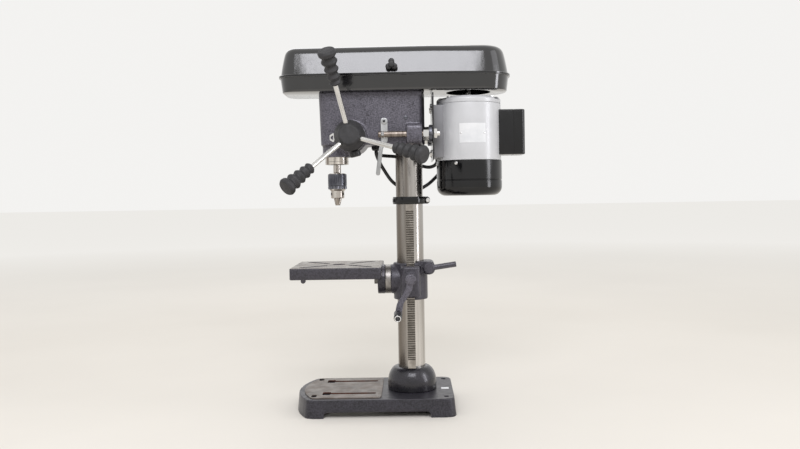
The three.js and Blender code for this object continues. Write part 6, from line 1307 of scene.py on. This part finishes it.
def make_plate_bolts():
    face = PLATE_FRONT + 0.1
    places = [(x, z) for x in (-BOLT_X, BOLT_X) for z in (BOLT_TOP, BOLT_BOTTOM)]
    for k, place in enumerate(places):
        bolt = hexagon(5.2, face - 3.2, face - 0.3, "Y", place)
        together(bolt, [pin(6.4, face - 1, face, "Y", place, 40, 0.2)])
        piece(bolt, f"plate_bolt_{k + 1}", "motor", "black_iron", "bright_steel")
    radius, start = 3.5, face - 3.6
    stop = lathe([(0, start), (radius, start, 0.6), (radius, face), (0, face)], 40, "Y", (50, BOLT_TOP))
    piece(stop, "plate_stop", "motor", "black_iron")


# Pulleys, with five steps each way, the belt on the middle step, and the rotor
PULLEY_BOTTOM, STEPS, STEP, GROOVE = 543, 5, 10.6, 7
PULLEY_TOP = PULLEY_BOTTOM + STEPS * STEP
SPINDLE_STEP, MOTOR_STEP, STEP_CHANGE = 48, 22, 5.2
MIDDLE_STEP = 2
PULLEY_HUB, HUB_BOTTOM = 11.6, 522.3


def pulley_profile(first, change):
    profile = []
    for step in range(STEPS):
        radius, bottom = first + change * step, PULLEY_BOTTOM + STEP * step
        root, middle, top = radius - GROOVE, bottom + STEP / 2, bottom + STEP
        profile += [(radius, bottom, 0.3), (radius, bottom + 1.4, 0.4), (root, middle - 1.9, 0.5),
                    (root, middle + 1.9, 0.5), (radius, top - 1.4, 0.4), (radius, top - 0.01)]
    return profile


def make_pulleys():
    hub = [(0, HUB_BOTTOM), (PULLEY_HUB, HUB_BOTTOM, 0.5), (PULLEY_HUB, PULLEY_BOTTOM)]
    profile = hub + pulley_profile(SPINDLE_STEP, -STEP_CHANGE) + [(0, PULLEY_TOP)]
    pulley = lathe(profile, 128, centre=SPINDLE, arc=3)
    reach = (HUB_BOTTOM - PAST, PULLEY_TOP + PAST)
    tools = [pin(SPINDLE_TOP_RADIUS + FIT, *reach, centre=SPINDLE)]
    tools += splines(SPLINE_REACH + FIT, SPLINE_HALF + FIT, *reach)
    tools.append(tube_ring(12, 23, PULLEY_TOP - 6, PULLEY_TOP + PAST, centre=SPINDLE))
    dressed(cut(pulley, tools), "spindle_pulley")
    profile = [(0, PULLEY_BOTTOM)] + pulley_profile(MOTOR_STEP, STEP_CHANGE) + [(0, PULLEY_TOP)]
    pulley = lathe(profile, 128, centre=MOTOR, arc=3)
    bore = pin(SHAFT_HOLE, PULLEY_BOTTOM - PAST, PULLEY_TOP + PAST, centre=MOTOR)
    cut(pulley, [bore, tube_ring(13, 36, PULLEY_TOP - 7, PULLEY_TOP + PAST, centre=MOTOR)])
    dressed(pulley, "motor_pulley")


def make_belt():
    front, rear = SPINDLE_STEP - STEP_CHANGE * MIDDLE_STEP, MOTOR_STEP + STEP_CHANGE * MIDDLE_STEP
    z = PULLEY_BOTTOM + STEP * (MIDDLE_STEP + 0.5)
    lean = math.asin((front - rear) / (MOTOR_Y - SPINDLE_Y))
    section = [(-6.3, -1.7), (-0.6, -3.4), (-0.6, 3.4), (-6.3, 1.7)]
    steps = 40
    points = []
    for centre, radius, start, end in ((MOTOR, rear, lean, math.pi - lean),
                                       (SPINDLE, front, math.pi - lean, TURN + lean)):
        for k in range(steps + 1):
            angle = start + (end - start) * k / steps
            points += [(*polar(radius + offset, angle, centre), z + height) for offset, height in section]
    count = len(points) // 4
    faces = []
    for k in range(count):
        n = (k + 1) % count
        faces += [[k * 4 + i, n * 4 + i, n * 4 + (i + 1) % 4, k * 4 + (i + 1) % 4] for i in range(4)]
    belt = piece(solid(points, faces), "fine_drive_belt", None, "belt_rubber")
    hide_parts("drive_belt")
    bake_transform(belt)


def make_rotor():
    low, high = span("motor_rotor", "Z")
    shaft, radius, start, end = SHAFT_RADIUS, 27.4, 437, 499
    rotor = lathe([(0, low), (shaft, low, 0.5), (shaft, start), (radius, start, 0.6), (radius, end, 0.6),
                   (shaft, end), (shaft, high, 0.6), (0, high)], 64, centre=MOTOR)
    dressed(rotor, "motor_rotor")


# Switch box with its buttons and screws, and the leads' gland
SWITCH_FRONT, SWITCH_REAR, SWITCH_WALL = -64, -8, 2.4
BUTTON_Y = -36
BUTTONS = (("start_button", 516, 7, "start_green"), ("stop_button", 490, 9, "stop_red"))
INLET, INLET_HOLE = (-53, 500), 3


def make_switch():
    low, high = span("switch_box")
    wall = SWITCH_WALL
    shell = prism(rectangle(SWITCH_FRONT, SWITCH_REAR, low.z, high.z, 5), low.x, high.x, "X")
    inner = rectangle(SWITCH_FRONT + wall, SWITCH_REAR - wall, low.z + wall, high.z - wall, 2.6)
    cut(bevel(shell, 1, 3), [prism(inner, low.x + wall, high.x + PAST, "X")])
    cut(shell, [pin(INLET_HOLE, SWITCH_REAR - 5, SWITCH_REAR + 7, "Y", INLET)])
    together(shell, [tube_ring(INLET_HOLE, 5, SWITCH_REAR - wall, SWITCH_REAR + 6, "Y", INLET, 40, 0.8)])
    holes = [pin(radius + 0.3, low.x - PAST, low.x + 4, "X", (BUTTON_Y, z)) for _, z, radius, _ in BUTTONS]
    cut(shell, holes)
    dressed(shell, "switch_box")
    for node, z, radius, material in BUTTONS:
        make_button(node, (BUTTON_Y, z), radius, material, low.x)
    corners = [(y, z) for z in (low.z + 5, high.z - 5) for y in (SWITCH_FRONT + 5, SWITCH_REAR - 5)]
    for k, place in enumerate(corners):
        screw = pin(2.2, low.x - 0.5, low.x + 0.2, "X", place, 24, 0.2)
        piece(screw, f"switch_screw_{k + 1}", "frame", "black_plastic", "bright_steel")


def make_button(node, place, radius, material, face):
    low, high = span(node, "X")
    rim, skirt = face + 2.7, radius + 1.6
    cap = [(0, low), (radius, low, 1), (radius, rim), (skirt, rim), (skirt, high), (0, high)]
    dent = radius - 1.6
    dish = lathe([(0, low - PAST), (dent, low - PAST), (dent, low, 0.3), (0, low + 0.7)], 48, "X", place)
    dressed(cut(lathe(cap, 64, "X", place), [dish]), node, material)
    ring = tube_ring(radius + 0.4, radius + 2.2, face - 1, face + 0.2, "X", place, 64, 0.4)
    piece(ring, f"{node}_surround", "frame", "black_plastic", "bright_steel")


def make_gland():
    low, high = span("lead_gland", "Z")
    collar = lathe([(0, low), (6.5, low, 1.5), (7.6, low + 3), (0, low + 3)], 48, centre=GLAND)
    neck = pin(GLAND_RADIUS, HEAD_BOTTOM - 1, high, centre=GLAND)
    gland = hexagon(9, low + 2.5, HEAD_BOTTOM - 0.3, centre=GLAND)
    dressed(together(gland, [collar, neck]), "lead_gland")


for make in (
    make_base, make_flange, make_tube, make_collar, make_head, make_housing, make_lid, make_shell,
    make_blank_plate, make_end_bell, make_cowl, make_capacitor_box, make_motor_plate, make_table,
    make_bracket, make_crank, make_lock, make_quill, make_spindle, make_chuck, make_sleeve, make_hub,
    make_handles, make_depth_ring, make_depth_knob, make_pointer, make_spring_cap, make_rods,
    make_lever, make_plate_bolts, make_pulleys, make_belt, make_rotor, make_lid_knob, make_switch,
    make_gland,
):
    make()

# Floor, light and background. The floor gets paler with distance, so that it meets the backdrop.
FLOOR_HALF, FLOOR_NEAR, FLOOR_FAR = 30, 1.2, 5
FLOOR_PALE = (249, 248, 246)
SEEN_WORLD, LIT_WORLD, LIT_STRENGTH = (0.9, 0.892, 0.876, 1), (1, 0.99, 0.97, 1), 0.89
LAMP_COLOR = (0.95, 0.95, 1)
# Name, place, height of the target on the column, power, width and height. The streak is seen only in
# reflections: it draws the bright line down the column and the motor.
LAMPS = (
    ("key", (2.0, 0.0, 1.95), 0.45, 33, 1.5, 1.05),
    ("fill", (0.6, 1.9, 1.3), 0.35, 4, 1.0, 1.4),
    ("streak", (0.62, 1.75, 0.66), 0.4, 8, 0.34, 1.2),
    ("back", (-1.8, -0.4, 1.7), 0.4, 5, 1.4, 1.0),
)


def make_floor():
    outline = rectangle(-FLOOR_HALF, FLOOR_HALF, -FLOOR_HALF, FLOOR_HALF)
    floor = solid(level(outline, 0), [[0, 1, 2, 3]], "floor")
    material = look("floor", (221, 217, 210), (225, 221, 214), mottle=1.2, specular=0.0)
    tree = material.node_tree
    shader = tree.nodes["Principled BSDF"]
    near = shader.inputs["Base Color"].links[0].from_socket
    away = add(tree, "VectorMath", {0: add(tree, "TexCoord")["Object"]}, operation="LENGTH")["Value"]
    share = add(tree, "MapRange", {"Value": away, "From Min": FLOOR_NEAR, "From Max": FLOOR_FAR})["Result"]
    pale = add(tree, "Mix", {0: share, 6: near, 7: srgb(FLOOR_PALE)}, data_type="RGBA")[2]
    fill(tree, shader, {"Base Color": pale})
    floor.data.materials.append(material)


def make_world():
    world = scene.world = bpy.data.worlds.new("world")
    world.use_nodes = True
    tree = world.node_tree
    tree.nodes.clear()
    rays = add(tree, "LightPath")
    either = rays["Is Camera Ray"]
    for key in ("Is Glossy Ray", "Is Transmission Ray"):
        either = add(tree, "Math", {0: either, 1: rays[key]}, operation="MAXIMUM")[0]
    lit = add(tree, "Background", {"Color": LIT_WORLD, "Strength": LIT_STRENGTH})[0]
    seen = add(tree, "Background", {"Color": SEEN_WORLD, "Strength": 1})[0]
    add(tree, "OutputWorld", {0: add(tree, "MixShader", {0: either, 1: lit, 2: seen})[0]})


def make_lamps():
    for name, place, height, power, wide, tall in LAMPS:
        data = bpy.data.lights.new(name, "AREA")
        data.shape, data.size, data.size_y, data.energy = "RECTANGLE", wide, tall, power
        data.color = LAMP_COLOR
        lamp = bpy.data.objects.new(name, data)
        lamp.location = place
        lamp.visible_camera = False
        lamp.visible_diffuse = name != "streak"
        lamp.rotation_euler = (Vector((0, 0, height)) - Vector(place)).to_track_quat("-Z", "Y").to_euler()
        scene.collection.objects.link(lamp)


make_floor()
make_world()
make_lamps()
scene.view_settings.view_transform = "Standard"
